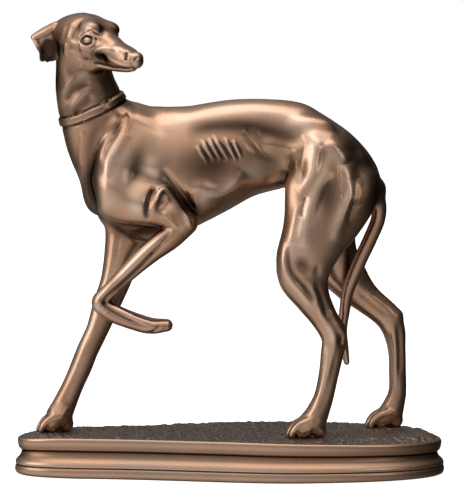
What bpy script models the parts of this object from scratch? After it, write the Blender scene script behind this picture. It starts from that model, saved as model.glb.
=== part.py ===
"""Whippet figure on an oval moulded plinth, a cast table ornament.

Two solids: the dog, one casting with its collar and tail, and the plinth under its feet.
Metres, +Z up, origin at the middle of the plinth's underside. The dog's head is towards -X
and its near side, the one the photograph shows, is towards -Y.

The free form is written as stations along each limb, in millimetres at FIGURE_HEIGHT, with
the height counted from the turf, and is scaled with FIGURE_HEIGHT.
"""

import math

import bmesh
import bpy
import numpy as np
from mathutils import Matrix, Vector

MM = 0.001

# Sizes of the figure
FIGURE_HEIGHT = 0.228
FIGURE_STATION_HEIGHT = 228.0
SEAT_GAP = 0.0003

# Sizes of the plinth: the plan is given at its top rim
PLINTH_HEIGHT = 0.022
TURF_MARGIN_HEAD_END = 0.0090
TURF_MARGIN_TAIL_END = 0.0190
NARROW_HALF_WIDTH = 0.0205
WIDE_HALF_WIDTH_NEAR = 0.032
WIDE_HALF_WIDTH_FAR = 0.0385
RIM_FALL_HEAD_END = 0.0020
RIM_FALL_TAIL_END = 0.0030
COVE_DEPTH = 0.0020
FOOT_SPREAD = 0.0016
TURF_EDGE_WIDTH = 0.0014
TURF_BANK_WIDTH = 0.0075

# Where the widening of the plan starts and ends, as shares of its half length
WIDEN_FROM = -0.63
WIDEN_TO = 0.33
HEAD_END_POWER = 5.0
TAIL_END_POWER_NEAR = 2.8
TAIL_END_POWER_FAR = 3.6
SIDE_POWER = 2.2

# Fineness of the faceted solids
PLAN_POINTS = 64
RING_POINTS = 20
STEPS_PER_STATION = 5
VOXEL_SHARE = 1.25 / FIGURE_STATION_HEIGHT
SMOOTH_PASSES = 5
DECIMATE_RATIO = 0.068

# The head's own frame: forward, left and up from the occiput
OCCIPUT = (-93.0, 0.0, 221.0)
HEAD_YAW = math.radians(42.7)
HEAD_PITCH = math.radians(8.0)

# Stations: x, y, height over the turf, half size sideways, half size in the plane of the limb
TRUNK = (
    (-68.5, 0, 130.0, 10.0, 10.0),
    (-61.0, 0, 136.5, 15.5, 23.0),
    (-43.5, 0, 145.0, 19.5, 33.5),
    (-21.5, 0, 145.0, 21.5, 33.0),
    (0.5, 0, 152.0, 19.5, 29.0),
    (12.0, 0, 155.5, 17.0, 26.0),
    (21.5, 0, 157.0, 15.0, 24.5),
    (30.0, 0, 158.0, 13.5, 23.0),
    (37.5, 0, 155.5, 13.5, 22.5),
    (54.0, 0, 149.0, 15.0, 18.5),
    (68.0, 0, 138.5, 13.0, 15.0),
    (76.0, 0, 133.0, 9.0, 11.0),
)
NECK = (
    (-58.5, 0, 143.0, 17.0, 22.0),
    (-64.0, 0, 155.0, 16.0, 20.5),
    (-69.5, -2, 167.0, 15.0, 20.0),
    (-74.5, -4, 178.0, 14.0, 18.0),
    (-78.0, -7, 189.0, 12.5, 15.5),
    (-79.5, -9, 200.0, 11.5, 13.5),
    (-80.0, -10, 208.5, 11.0, 13.0),
)
NEAR_SHOULDER = (
    (-49.5, -10, 168.5, 6.0, 9.5),
    (-56.5, -14, 152.5, 8.0, 13.0),
    (-62.0, -16, 135.0, 9.0, 14.0),
    (-53.5, -18, 127.5, 8.5, 13.0),
    (-38.5, -19, 124.5, 7.5, 10.5),
    (-24.5, -20, 117.0, 6.0, 7.0),
)
NEAR_FOREARM = (
    (-23.5, -20, 116.5, 6.0, 6.5),
    (-32.0, -20, 109.0, 6.0, 6.7),
    (-42.5, -19, 101.0, 5.3, 6.0),
    (-54.5, -18, 90.0, 4.6, 4.8),
    (-64.5, -17, 80.0, 4.3, 4.3),
    (-69.5, -16, 73.5, 4.8, 4.8),
    (-63.5, -16, 68.0, 5.0, 4.8),
    (-53.5, -16, 64.0, 5.4, 4.8),
    (-43.0, -16, 61.0, 5.8, 4.5),
    (-35.5, -16, 60.5, 4.0, 3.2),
)
FAR_SHOULDER = (
    (-49.5, 10, 168.5, 6.0, 9.5),
    (-55.0, 13, 150.0, 8.0, 13.0),
    (-60.0, 14, 134.0, 8.0, 14.5),
    (-60.0, 13, 122.0, 8.0, 12.0),
)
FAR_FORELEG = (
    (-54.0, 11, 124.5, 9.0, 14.3),
    (-58.0, 11, 109.5, 8.0, 11.0),
    (-59.5, 10, 97.0, 7.0, 8.8),
    (-62.8, 9, 83.0, 6.2, 8.0),
    (-68.3, 8, 70.0, 5.4, 7.0),
    (-74.0, 7, 56.0, 5.0, 5.4),
    (-79.0, 6, 45.0, 5.2, 5.4),
    (-82.5, 6, 35.5, 5.4, 5.6),
    (-87.0, 5, 25.5, 4.8, 4.9),
    (-91.5, 5, 16.0, 5.0, 5.2),
    (-95.0, 4, 9.0, 6.4, 6.8),
)
NEAR_HIND_LEG = (
    (49.5, -12, 155.0, 8.0, 14.0),
    (49.0, -14, 134.0, 9.5, 19.5),
    (43.5, -17, 112.5, 9.0, 15.5),
    (38.0, -18, 95.5, 8.5, 13.7),
    (37.0, -18, 86.0, 7.5, 10.7),
    (43.0, -17, 75.0, 6.5, 8.0),
    (50.2, -15, 64.0, 5.0, 6.4),
    (56.2, -14, 54.5, 4.5, 6.4),
    (55.5, -14, 44.5, 4.4, 5.5),
    (53.5, -14, 33.5, 4.3, 5.0),
    (50.5, -14, 21.5, 4.8, 5.4),
    (46.5, -14, 11.5, 6.0, 6.6),
)
FAR_HIND_LEG = (
    (55.0, 12, 154.5, 8.0, 14.0),
    (59.5, 13, 129.5, 9.5, 19.0),
    (58.0, 15, 107.5, 9.0, 14.5),
    (58.5, 16, 91.5, 8.0, 12.5),
    (66.5, 17, 79.5, 7.0, 9.5),
    (75.5, 17, 71.0, 5.5, 7.3),
    (86.0, 17, 63.0, 4.8, 6.5),
    (91.0, 17, 55.5, 4.4, 6.0),
    (92.5, 17, 43.5, 4.2, 4.8),
    (93.0, 17, 31.0, 4.2, 4.5),
    (93.0, 17, 19.5, 4.6, 4.8),
    (90.5, 17, 10.0, 6.0, 6.4),
)
NEAR_HAMSTRING = (
    (71.0, -9, 140.0, 7.0, 10.0),
    (69.0, -12, 130.0, 8.0, 11.0),
    (60.0, -15, 117.0, 8.0, 11.0),
    (51.0, -17, 103.0, 7.5, 9.5),
    (45.0, -17, 90.0, 6.5, 8.0),
)
FAR_HAMSTRING = (
    (71.0, 9, 140.0, 7.0, 10.0),
    (69.0, 12, 128.0, 8.0, 10.0),
    (62.0, 14, 114.0, 8.0, 10.0),
)
TAIL = (
    (75.0, 0, 141.0, 6.5, 6.5),
    (80.5, 0, 135.0, 4.4, 4.4),
    (83.0, 0, 126.0, 3.2, 3.2),
    (80.5, 1, 115.5, 3.0, 3.0),
    (76.0, 1, 106.0, 3.0, 3.0),
    (71.5, 1, 96.0, 3.0, 3.0),
    (67.0, 1, 85.5, 3.2, 3.2),
    (64.0, 1, 76.5, 3.2, 3.2),
    (62.5, 1, 66.5, 2.9, 2.9),
    (61.5, 2, 56.5, 2.7, 2.7),
    (62.5, 2, 46.5, 2.5, 2.5),
    (64.0, 2, 38.5, 1.6, 1.6),
)

# Paws on the turf: from heel to toes, x, y, height, half width, half height
FAR_FORE_PAW = (
    (-91.0, 5, 3.5, 4.5, 4.0),
    (-95.5, 4, 5.0, 6.5, 5.5),
    (-101.0, 4, 3.5, 6.5, 5.0),
    (-104.0, 4, 1.5, 5.0, 3.5),
)
NEAR_HIND_PAW = (
    (49.0, -14, 3.0, 4.5, 4.0),
    (44.5, -14, 5.5, 6.3, 5.8),
    (39.0, -14, 4.0, 6.5, 5.0),
    (35.5, -14, 1.5, 5.2, 3.5),
)
FAR_HIND_PAW = (
    (93.0, 17, 3.0, 4.5, 4.0),
    (88.5, 17, 5.5, 6.3, 5.8),
    (82.5, 17, 4.0, 6.5, 5.0),
    (78.5, 17, 1.5, 5.2, 3.5),
)

# The head: forward, left and up in its own frame, then its half sizes sideways and upwards
SKULL = (
    (2.0, 0, -6.0, 6.5, 6.5),
    (8.0, 0, -4.2, 10.5, 10.2),
    (18.0, 0, -2.6, 12.6, 12.2),
    (26.0, 0, -2.4, 12.2, 12.4),
    (33.0, 0, -4.3, 10.6, 11.2),
    (40.0, 0, -7.0, 8.4, 9.2),
    (48.0, 0, -9.2, 6.8, 7.8),
    (55.5, 0, -10.5, 5.8, 6.4),
    (61.0, 0, -11.0, 4.8, 5.0),
    (62.8, 0, -11.0, 3.6, 3.8),
)
EAR_FOLD = (
    (8.0, 8.0, 1.0, 3.0, 2.8),
    (3.0, 11.5, -2.5, 2.4, 3.0),
    (-2.5, 14.2, -6.2, 1.5, 1.8),
)
EAR_FLAP = (
    (7.5, 9.5, -5.5, 2.2, 6.5),
    (3.5, 12.3, -8.0, 1.8, 6.0),
    (0.0, 13.8, -9.8, 1.3, 4.3),
)
EAR_LOBE = (
    (8.5, 9.5, -10.5, 2.0, 5.5),
    (4.5, 12.4, -13.8, 1.6, 4.2),
)
EYE = (33.0, 9.6, -2.0)
EYE_RADIUS = 3.0
BROW = (30.5, 8.6, 2.0)
BROW_RADIUS = 4.6

# Collar: a raised band around the neck, its place and width as shares of the neck's stations
COLLAR_AT = 3.0
COLLAR_WIDTH = 4.2
COLLAR_RISE = 1.0

# Ribs that show on each side: the upper end of the first one, its run and the step between them
RIB_COUNT = 6
RIB_FIRST_TOP = (-20.5, 166.0)
RIB_RUN = (8.0, -15.0)
RIB_STEP = (4.2, 1.2)
RIB_RADIUS = 1.3

# Carved muscles and bones, on both sides: x, |y|, height, then half sizes along x, y and z
SIDE_FORMS = (
    (44.0, 9.5, 166.0, 12.0, 5.0, 7.0),
    (61.0, 9.0, 148.0, 13.0, 6.5, 9.0),
    (-44.0, 13.0, 150.0, 15.0, 8.0, 17.0),
    (-54.0, 2.0, 166.0, 16.0, 8.0, 17.0),
)

BRONZE = {"colour": (0.30, 0.185, 0.12, 1.0), "roughness": 0.36, "metallic": 1.0}
DARK_BRONZE = {"colour": (0.235, 0.15, 0.10, 1.0), "roughness": 0.42, "metallic": 1.0}


def clear_scene():
    """Remove whatever the file opened with."""
    for old in list(bpy.data.objects):
        bpy.data.objects.remove(old, do_unlink=True)


def material(name, look):
    """A Principled material from a colour, a roughness and a metallic value."""
    made = bpy.data.materials.new(name)
    made.use_nodes = True
    shader = made.node_tree.nodes["Principled BSDF"]
    shader.inputs["Base Color"].default_value = look["colour"]
    shader.inputs["Roughness"].default_value = look["roughness"]
    shader.inputs["Metallic"].default_value = look["metallic"]
    made.diffuse_color = look["colour"]
    return made


def add_object(name, bm, look):
    """A smooth-shaded object from a bmesh, with its own material."""
    bmesh.ops.recalc_face_normals(bm, faces=bm.faces)
    for face in bm.faces:
        face.smooth = True
    mesh = bpy.data.meshes.new(name)
    bm.to_mesh(mesh)
    bm.free()
    mesh.materials.append(material(name + "_finish", look))
    made = bpy.data.objects.new(name, mesh)
    bpy.context.scene.collection.objects.link(made)
    return made


def smooth_stations(stations, steps):
    """More stations on a Catmull-Rom curve through the given ones, ends included."""
    points = np.array(stations, dtype=float)
    padded = np.vstack([2 * points[0] - points[1], points, 2 * points[-1] - points[-2]])
    rows = []
    for i in range(len(points) - 1):
        p0, p1, p2, p3 = padded[i : i + 4]
        for t in np.linspace(0.0, 1.0, steps, endpoint=False):
            rows.append(
                0.5 * (2 * p1 + (p2 - p0) * t + (2 * p0 - 5 * p1 + 4 * p2 - p3) * t**2
                       + (3 * p1 - p0 - 3 * p2 + p3) * t**3)
            )
    rows.append(points[-1])
    return np.array(rows)


def add_limb(bm, stations, steps=STEPS_PER_STATION, side=Vector((0.0, 1.0, 0.0)), round_ends=True):
    """Loft a closed limb of oval rings through stations, with rounded ends."""
    rows = smooth_stations(stations, steps)
    centres = [Vector(row[:3]) for row in rows]
    rings = []
    last = len(rows) - 1
    for i, row in enumerate(rows):
        along = (centres[min(i + 1, last)] - centres[max(i - 1, 0)]).normalized()
        across = (side - along * side.dot(along)).normalized()
        rings.append((centres[i], along, across, row[3], row[4]))
    if round_ends:
        rings = end_rings(rings[0], -1) + rings + end_rings(rings[-1], 1)
    loops = [add_ring(bm, ring) for ring in rings]
    for lower, upper in zip(loops, loops[1:]):
        for j in range(RING_POINTS):
            k = (j + 1) % RING_POINTS
            bm.faces.new((lower[j], lower[k], upper[k], upper[j]))
    bm.faces.new(list(reversed(loops[0])))
    bm.faces.new(loops[-1])


def end_rings(ring, direction):
    """Shrinking rings beyond a limb's end, a quarter turn of an ellipse."""
    centre, along, across, half_side, half_deep = ring
    reach = min(half_side, half_deep)
    made = []
    for angle in (30.0, 58.0, 80.0):
        turn = math.radians(angle)
        shrink = math.cos(turn)
        moved = centre + along * (direction * reach * math.sin(turn))
        made.append((moved, along, across, half_side * shrink, half_deep * shrink))
    return made if direction > 0 else made[::-1]


def add_ring(bm, ring):
    """One oval ring of vertices, square to the limb."""
    centre, along, across, half_side, half_deep = ring
    upward = along.cross(across)
    made = []
    for j in range(RING_POINTS):
        turn = 2 * math.pi * j / RING_POINTS
        offset = across * (half_side * math.cos(turn)) + upward * (half_deep * math.sin(turn))
        made.append(bm.verts.new(centre + offset))
    return made


def add_ellipsoid(bm, centre, half_sizes):
    """A ball scaled to three half sizes."""
    place = Matrix.Translation(Vector(centre)) @ Matrix.Diagonal((*half_sizes, 1.0))
    bmesh.ops.create_uvsphere(bm, u_segments=20, v_segments=12, radius=1.0, matrix=place)


def head_place(forward, left, up):
    """A point of the head's own frame in the figure's stations."""
    ahead = Vector((math.cos(HEAD_YAW), -math.sin(HEAD_YAW), 0.0)) * math.cos(HEAD_PITCH)
    ahead.z = -math.sin(HEAD_PITCH)
    leftward = Vector((math.sin(HEAD_YAW), math.cos(HEAD_YAW), 0.0))
    upward = ahead.cross(leftward)
    return Vector(OCCIPUT) + ahead * forward + leftward * left + upward * up


def head_stations(stations, mirror=1.0):
    """Stations of the head's own frame, moved into the figure's."""
    return [
        (*head_place(forward, left * mirror, up), half_side, half_up)
        for forward, left, up, half_side, half_up in stations
    ]


def trunk_side(x, height):
    """How far the trunk's flank stands out sideways at a place on its side view."""
    rows = smooth_stations(TRUNK, STEPS_PER_STATION)
    middle = np.interp(x, rows[:, 0], rows[:, 2])
    half_side = np.interp(x, rows[:, 0], rows[:, 3])
    half_deep = np.interp(x, rows[:, 0], rows[:, 4])
    share = min(abs(height - middle) / half_deep, 0.95)
    return half_side * math.sqrt(1.0 - share**2)


def add_ribs(bm):
    """The ribs that show behind the shoulder, slanting back and down on each flank."""
    for mirror in (-1.0, 1.0):
        for i in range(RIB_COUNT):
            rows = []
            for share in (0.0, 0.33, 0.67, 1.0):
                x = RIB_FIRST_TOP[0] + i * RIB_STEP[0] + share * RIB_RUN[0]
                height = RIB_FIRST_TOP[1] + i * RIB_STEP[1] + share * RIB_RUN[1]
                y = mirror * (trunk_side(x, height) + 0.1)
                rows.append((x, y, height, RIB_RADIUS, RIB_RADIUS))
            add_limb(bm, rows, steps=2)


def add_collar(bm):
    """The carved collar, a band of the neck's own section stood out by COLLAR_RISE."""
    rows = smooth_stations(NECK, STEPS_PER_STATION)
    spread = np.arange(len(rows)) / STEPS_PER_STATION
    middle = np.array([np.interp(COLLAR_AT, spread, rows[:, c]) for c in range(5)])
    along = Vector(rows[int(COLLAR_AT * STEPS_PER_STATION) + 1][:3] - middle[:3]).normalized()
    half = along * (COLLAR_WIDTH / 2)
    size = (middle[3] + COLLAR_RISE, middle[4] + COLLAR_RISE)
    lower = (*(Vector(middle[:3]) - half), *size)
    upper = (*(Vector(middle[:3]) + half), *size)
    add_limb(bm, (lower, upper), steps=2, round_ends=False)


def add_head(bm):
    """Skull and muzzle, folded ears and eyes."""
    leftward = head_place(0, 1, 0) - head_place(0, 0, 0)
    add_limb(bm, head_stations(SKULL), side=leftward)
    for mirror in (-1.0, 1.0):
        for form in (EAR_FOLD, EAR_FLAP, EAR_LOBE):
            add_limb(bm, head_stations(form, mirror), side=leftward)
        forward, left, up = EYE
        add_ellipsoid(bm, head_place(forward, left * mirror, up), (EYE_RADIUS,) * 3)
        forward, left, up = BROW
        add_ellipsoid(bm, head_place(forward, left * mirror, up), (BROW_RADIUS,) * 3)


def add_toes(bm, paw):
    """Four toes at the front of a paw, side by side."""
    x, y, height, half_width, half_height = paw[-1]
    for share in (-0.75, -0.27, 0.27, 0.75):
        inward = 0.8 if abs(share) < 0.5 else 2.6
        toe = (x + inward, y + share * half_width, height + 0.4)
        add_ellipsoid(bm, toe, (3.6, half_width * 0.29, half_height * 0.85))


def make_ground_cutter(turf_height):
    """A block whose top is where the soles are cut flat, seen by no render."""
    bm = bmesh.new()
    reach = 2 * FIGURE_HEIGHT
    bmesh.ops.create_cube(bm, size=reach)
    cutter = add_object("sole_cutter", bm, DARK_BRONZE)
    cutter.location = (0.0, 0.0, turf_height + SEAT_GAP - reach / 2)
    cutter.hide_render = True
    cutter.display_type = "WIRE"
    return cutter


def make_whippet(turf_height):
    """The dog as one casting: limbs joined, blended, thinned to facets and cut flat below."""
    bm = bmesh.new()
    for limb in (TRUNK, NECK, NEAR_SHOULDER, NEAR_FOREARM, FAR_SHOULDER, FAR_FORELEG,
                 NEAR_HIND_LEG, NEAR_HAMSTRING, FAR_HIND_LEG, FAR_HAMSTRING, TAIL):
        add_limb(bm, limb)
    for paw in (FAR_FORE_PAW, NEAR_HIND_PAW, FAR_HIND_PAW):
        add_limb(bm, paw)
        add_toes(bm, paw)
    for x, y, height, *half_sizes in SIDE_FORMS:
        for mirror in (-1.0, 1.0):
            add_ellipsoid(bm, (x, y * mirror, height), half_sizes)
    add_ribs(bm)
    add_collar(bm)
    add_head(bm)
    unit = FIGURE_HEIGHT / FIGURE_STATION_HEIGHT
    bmesh.ops.scale(bm, vec=(unit, unit, unit), verts=bm.verts)
    bmesh.ops.translate(bm, vec=(0.0, 0.0, turf_height), verts=bm.verts)
    whippet = add_object("whippet", bm, BRONZE)

    blend = whippet.modifiers.new("blend", "REMESH")
    blend.mode = "VOXEL"
    blend.voxel_size = VOXEL_SHARE * FIGURE_HEIGHT
    blend.use_smooth_shade = True
    soften = whippet.modifiers.new("soften", "SMOOTH")
    soften.factor = 0.5
    soften.iterations = SMOOTH_PASSES
    facets = whippet.modifiers.new("facets", "DECIMATE")
    facets.ratio = DECIMATE_RATIO
    soles = whippet.modifiers.new("soles", "BOOLEAN")
    soles.operation = "DIFFERENCE"
    soles.object = make_ground_cutter(turf_height)
    return whippet


def plan_half_width(share, near):
    """The rim's half width at a share of its half length, from -1 at the head end to 1."""
    wide = WIDE_HALF_WIDTH_NEAR if near else WIDE_HALF_WIDTH_FAR
    tail_end_power = TAIL_END_POWER_NEAR if near else TAIL_END_POWER_FAR
    t = min(max((share - WIDEN_FROM) / (WIDEN_TO - WIDEN_FROM), 0.0), 1.0)
    body = NARROW_HALF_WIDTH + (wide - NARROW_HALF_WIDTH) * t * t * (3 - 2 * t)
    power = HEAD_END_POWER if share < 0 else tail_end_power
    return body * max(1.0 - abs(share) ** power, 0.0) ** (1 / SIDE_POWER)


def stance_ends():
    """Where the paws reach to at the head end and at the tail end, in metres."""
    unit = FIGURE_HEIGHT / FIGURE_STATION_HEIGHT
    head_end = (FAR_FORE_PAW[-1][0] - FAR_FORE_PAW[-1][4]) * unit
    tail_end = (FAR_HIND_PAW[0][0] + FAR_HIND_PAW[0][4]) * unit
    return head_end, tail_end


def plinth_plan():
    """The rim's outline seen from above, as points and outward directions."""
    head_end, tail_end = stance_ends()
    start = head_end - TURF_MARGIN_HEAD_END
    end = tail_end + TURF_MARGIN_TAIL_END
    middle = (start + end) / 2
    half_length = (end - start) / 2
    outline = []
    for j in range(PLAN_POINTS):
        turn = 2 * math.pi * j / PLAN_POINTS
        share = -math.cos(turn)
        near = math.sin(turn) < 0
        half_width = plan_half_width(share, near)
        outline.append((middle + half_length * share, -half_width if near else half_width))
    points = np.array(outline)
    run = np.roll(points, -1, axis=0) - np.roll(points, 1, axis=0)
    outward = np.stack([-run[:, 1], run[:, 0]], axis=1)
    outward /= np.linalg.norm(outward, axis=1)[:, None]
    return points, outward


def rim_height(x, start, end):
    """The rim's height, which falls a little towards both ends."""
    head = max((start * 0.7 - x) / (start * 0.7 - start), 0.0) if x < 0 else 0.0
    tail = max(x / end, 0.0)
    return PLINTH_HEIGHT - RIM_FALL_HEAD_END * head**2 - RIM_FALL_TAIL_END * tail**1.2


def plinth_profile():
    """The moulding from the underside up: outward of the rim, and share of the rim's height."""
    return (
        (FOOT_SPREAD - 2.2 * MM, 0.0),
        (FOOT_SPREAD - 0.8 * MM, 0.04),
        (FOOT_SPREAD - 0.1 * MM, 0.12),
        (FOOT_SPREAD, 0.20),
        (FOOT_SPREAD - 0.3 * MM, 0.275),
        (FOOT_SPREAD - 0.9 * MM, 0.295),
        (FOOT_SPREAD - 0.2 * MM, 0.33),
        (FOOT_SPREAD - 0.3 * MM, 0.405),
        (FOOT_SPREAD - 1.4 * MM, 0.475),
        (-0.45 * COVE_DEPTH, 0.56),
        (-0.85 * COVE_DEPTH, 0.64),
        (-COVE_DEPTH, 0.71),
        (-0.75 * COVE_DEPTH, 0.785),
        (-0.4 * MM, 0.83),
        (-0.9 * MM, 0.87),
        (0.0, 0.93),
        (-0.3 * MM, 0.98),
        (-TURF_EDGE_WIDTH, 1.0),
    )


def make_plinth():
    """The moulded oval plinth with its turf, solid below and flat where the dog stands."""
    points, outward = plinth_plan()
    start, end = points[:, 0].min(), points[:, 0].max()
    heights = [rim_height(x, start, end) for x in points[:, 0]]
    bm = bmesh.new()
    loops = []
    for out, share in plinth_profile():
        flat = points + outward * out
        loops.append([bm.verts.new((x, y, share * h)) for (x, y), h in zip(flat, heights)])
    bank = points - outward * TURF_BANK_WIDTH
    loops.append([bm.verts.new((x, y, PLINTH_HEIGHT)) for x, y in bank])
    for lower, upper in zip(loops, loops[1:]):
        for j in range(PLAN_POINTS):
            k = (j + 1) % PLAN_POINTS
            bm.faces.new((lower[j], lower[k], upper[k], upper[j]))
    bm.faces.new(list(reversed(loops[0])))
    bm.faces.new(loops[-1])
    return add_object("plinth", bm, DARK_BRONZE)


clear_scene()
make_plinth()
make_whippet(PLINTH_HEIGHT)
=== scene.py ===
"""Whippet figure on its moulded plinth: the finished skin, the patina and the studio.

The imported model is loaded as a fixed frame. The dog's skin is the zero surface of one smooth
field, built from profiles carried along paths and blended into each other. It is meshed with
numpy, pulled onto the field and made finer at the head. The plinth is a moulding profile carried
around an oval plan, with the turf modelled on top. Lengths inside the field are millimetres
over the turf, x towards the tail and y away from the viewer.
"""

import itertools
import logging
import math
from dataclasses import dataclass
from enum import Enum
from typing import Callable, Iterable, Sequence

import bmesh
import bpy
import numpy as np
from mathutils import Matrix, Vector


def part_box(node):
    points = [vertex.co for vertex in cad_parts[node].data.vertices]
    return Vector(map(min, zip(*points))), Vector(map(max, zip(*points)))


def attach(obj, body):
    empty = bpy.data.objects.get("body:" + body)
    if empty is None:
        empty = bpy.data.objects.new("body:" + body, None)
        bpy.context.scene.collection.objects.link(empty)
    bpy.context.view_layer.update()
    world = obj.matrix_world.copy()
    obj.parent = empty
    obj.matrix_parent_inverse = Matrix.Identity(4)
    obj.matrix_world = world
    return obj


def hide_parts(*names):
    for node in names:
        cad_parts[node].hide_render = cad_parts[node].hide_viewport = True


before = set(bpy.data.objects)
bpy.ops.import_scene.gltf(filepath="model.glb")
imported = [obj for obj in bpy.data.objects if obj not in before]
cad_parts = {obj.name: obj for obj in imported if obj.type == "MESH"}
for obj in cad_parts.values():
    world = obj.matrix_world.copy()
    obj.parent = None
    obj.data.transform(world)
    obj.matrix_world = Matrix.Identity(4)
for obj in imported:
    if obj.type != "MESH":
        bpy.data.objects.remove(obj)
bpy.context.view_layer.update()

log = logging.getLogger("whippet_figure")

Array = np.ndarray
Station = tuple[float, ...]
Rows = Sequence[Station]
Place = tuple[float, float, float]
Colour = tuple[float, float, float]
Range = tuple[float, float]
Socket = bpy.types.NodeSocket
Inputs = dict[str | int, object]

MM = 0.001
TURF_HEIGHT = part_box("plinth")[1][2] / MM
MIDDLE_FADE = 4.0
BUMP_DEPTH = 0.0004
WHITE: Colour = (1.0, 1.0, 1.0)


class Space(Enum):
    """Which frame a form's numbers are written in."""

    BODY = "body"
    HEAD = "head"


class Flank(Enum):
    """Which side of the dog a carved form lies on."""

    NEAR = -1
    FAR = 1
    BOTH = 0


@dataclass(frozen=True)
class HeadFrame:
    """The head's own frame: forward, left and up from the occiput.

    Args:
        occiput: its place in the body's frame, in mm.
        yaw: degrees the muzzle turns from the tail's direction towards the viewer.
        pitch: degrees the muzzle looks down.
    """

    occiput: Place = (-93.0, 0.0, 221.0)
    yaw: float = 42.7
    pitch: float = 8.0

    def axes(self) -> Array:
        """Rows: the forward, left and up directions."""
        yaw, pitch = math.radians(self.yaw), math.radians(self.pitch)
        level = math.cos(pitch)
        ahead = np.array([math.cos(yaw) * level, -math.sin(yaw) * level, -math.sin(pitch)])
        left = np.array([math.sin(yaw), math.cos(yaw), 0.0])
        return np.stack([ahead, left, np.cross(ahead, left)])

    def from_body(self, points: Array) -> Array:
        """Points of the body's frame in the head's frame."""
        return (points - np.array(self.occiput)) @ self.axes().T


HEAD = HeadFrame()


@dataclass(frozen=True)
class Region:
    """A part of the dog inside boxes, each given by its lowest and highest corner.

    Args:
        head_box: a box in the head's frame.
        boxes: boxes in the body's frame.
    """

    head_box: tuple[Place, Place]
    boxes: tuple[tuple[Place, Place], ...]

    def holds(self, points: Array) -> Array:
        """Which points lie in it."""
        chosen = in_box(HEAD.from_body(points), *self.head_box)
        for box in self.boxes:
            chosen |= in_box(points, *box)
        return chosen


def in_box(points: Array, low: Station, high: Station) -> Array:
    """Which points lie between a box's lowest and highest corner."""
    return np.all((points > low) & (points < high), axis=1)


def in_batches(work: Callable[[Array], Array], points: Array, size: int) -> Array:
    """The work's number for each point, a batch at a time to hold the memory down."""
    return np.concatenate([work(points[start : start + size]) for start in range(0, len(points), size)])


# the carved places, where the skin's mesh is made finer
FINE_REGION = Region(((-6, -19, -20), (72, 14, 14)), (
    ((-84, -40, 106), (-15, -7, 182)), ((-95, -30, 167), (-52, 30, 192)), ((-23, -40, 144), (10, 40, 167)),
    ((29, -40, 104), (72, -8, 164)), ((-108, -6, -2), (-88, 16, 13)), ((28, -24, -2), (52, -4, 13)),
    ((70, 7, -2), (95, 27, 13)), ((-48, -26, 54), (-26, -8, 68)), ((-72, -30, 60), (-28, -17, 112)),
))
# the side of the face that the viewer sees, and the ribs on that flank, where it is finest
FINEST_REGION = Region(((24, -14, -18), (69, -0.5, 4)), (((-21, -40, 147), (9, -8, 165)),))


def curve_through(stations: Rows, spacing: float) -> Array:
    """Samples of a Catmull-Rom curve through stations, about one per spacing.

    Each stretch is 0.5 (2 p1 + (p2 - p0) t + (2 p0 - 5 p1 + 4 p2 - p3) t^2
    + (3 p1 - p0 - 3 p2 + p3) t^3), with the end points mirrored outwards.

    Args:
        stations: rows that start with x, y, z and may carry more columns.
        spacing: the step between samples, in mm.

    Returns:
        One row per sample, with the stations' columns.
    """
    points = np.array(stations, dtype=float)
    if len(points) == 1:
        return points
    padded = np.vstack([2 * points[0] - points[1], points, 2 * points[-1] - points[-2]])
    rows = []
    for i in range(len(points) - 1):
        p0, p1, p2, p3 = padded[i : i + 4]
        count = max(int(np.linalg.norm((p2 - p1)[:3]) / spacing), 2)
        t = np.linspace(0.0, 1.0, count, endpoint=False)[:, None]
        rows.append(0.5 * (2 * p1 + (p2 - p0) * t + (2 * p0 - 5 * p1 + 4 * p2 - p3) * t**2
                           + (3 * p1 - p0 - 3 * p2 + p3) * t**3))
    rows.append(points[-1:])
    return np.vstack(rows)


def blended(first: Array, second: Array, radius: float) -> Array:
    """Union of two fields with a fillet: min(a, b) - h^2 r / 4, h = max(r - |a - b|, 0) / r."""
    share = np.maximum(radius - np.abs(first - second), 0.0) / radius
    return np.minimum(first, second) - share * share * radius * 0.25


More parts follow.
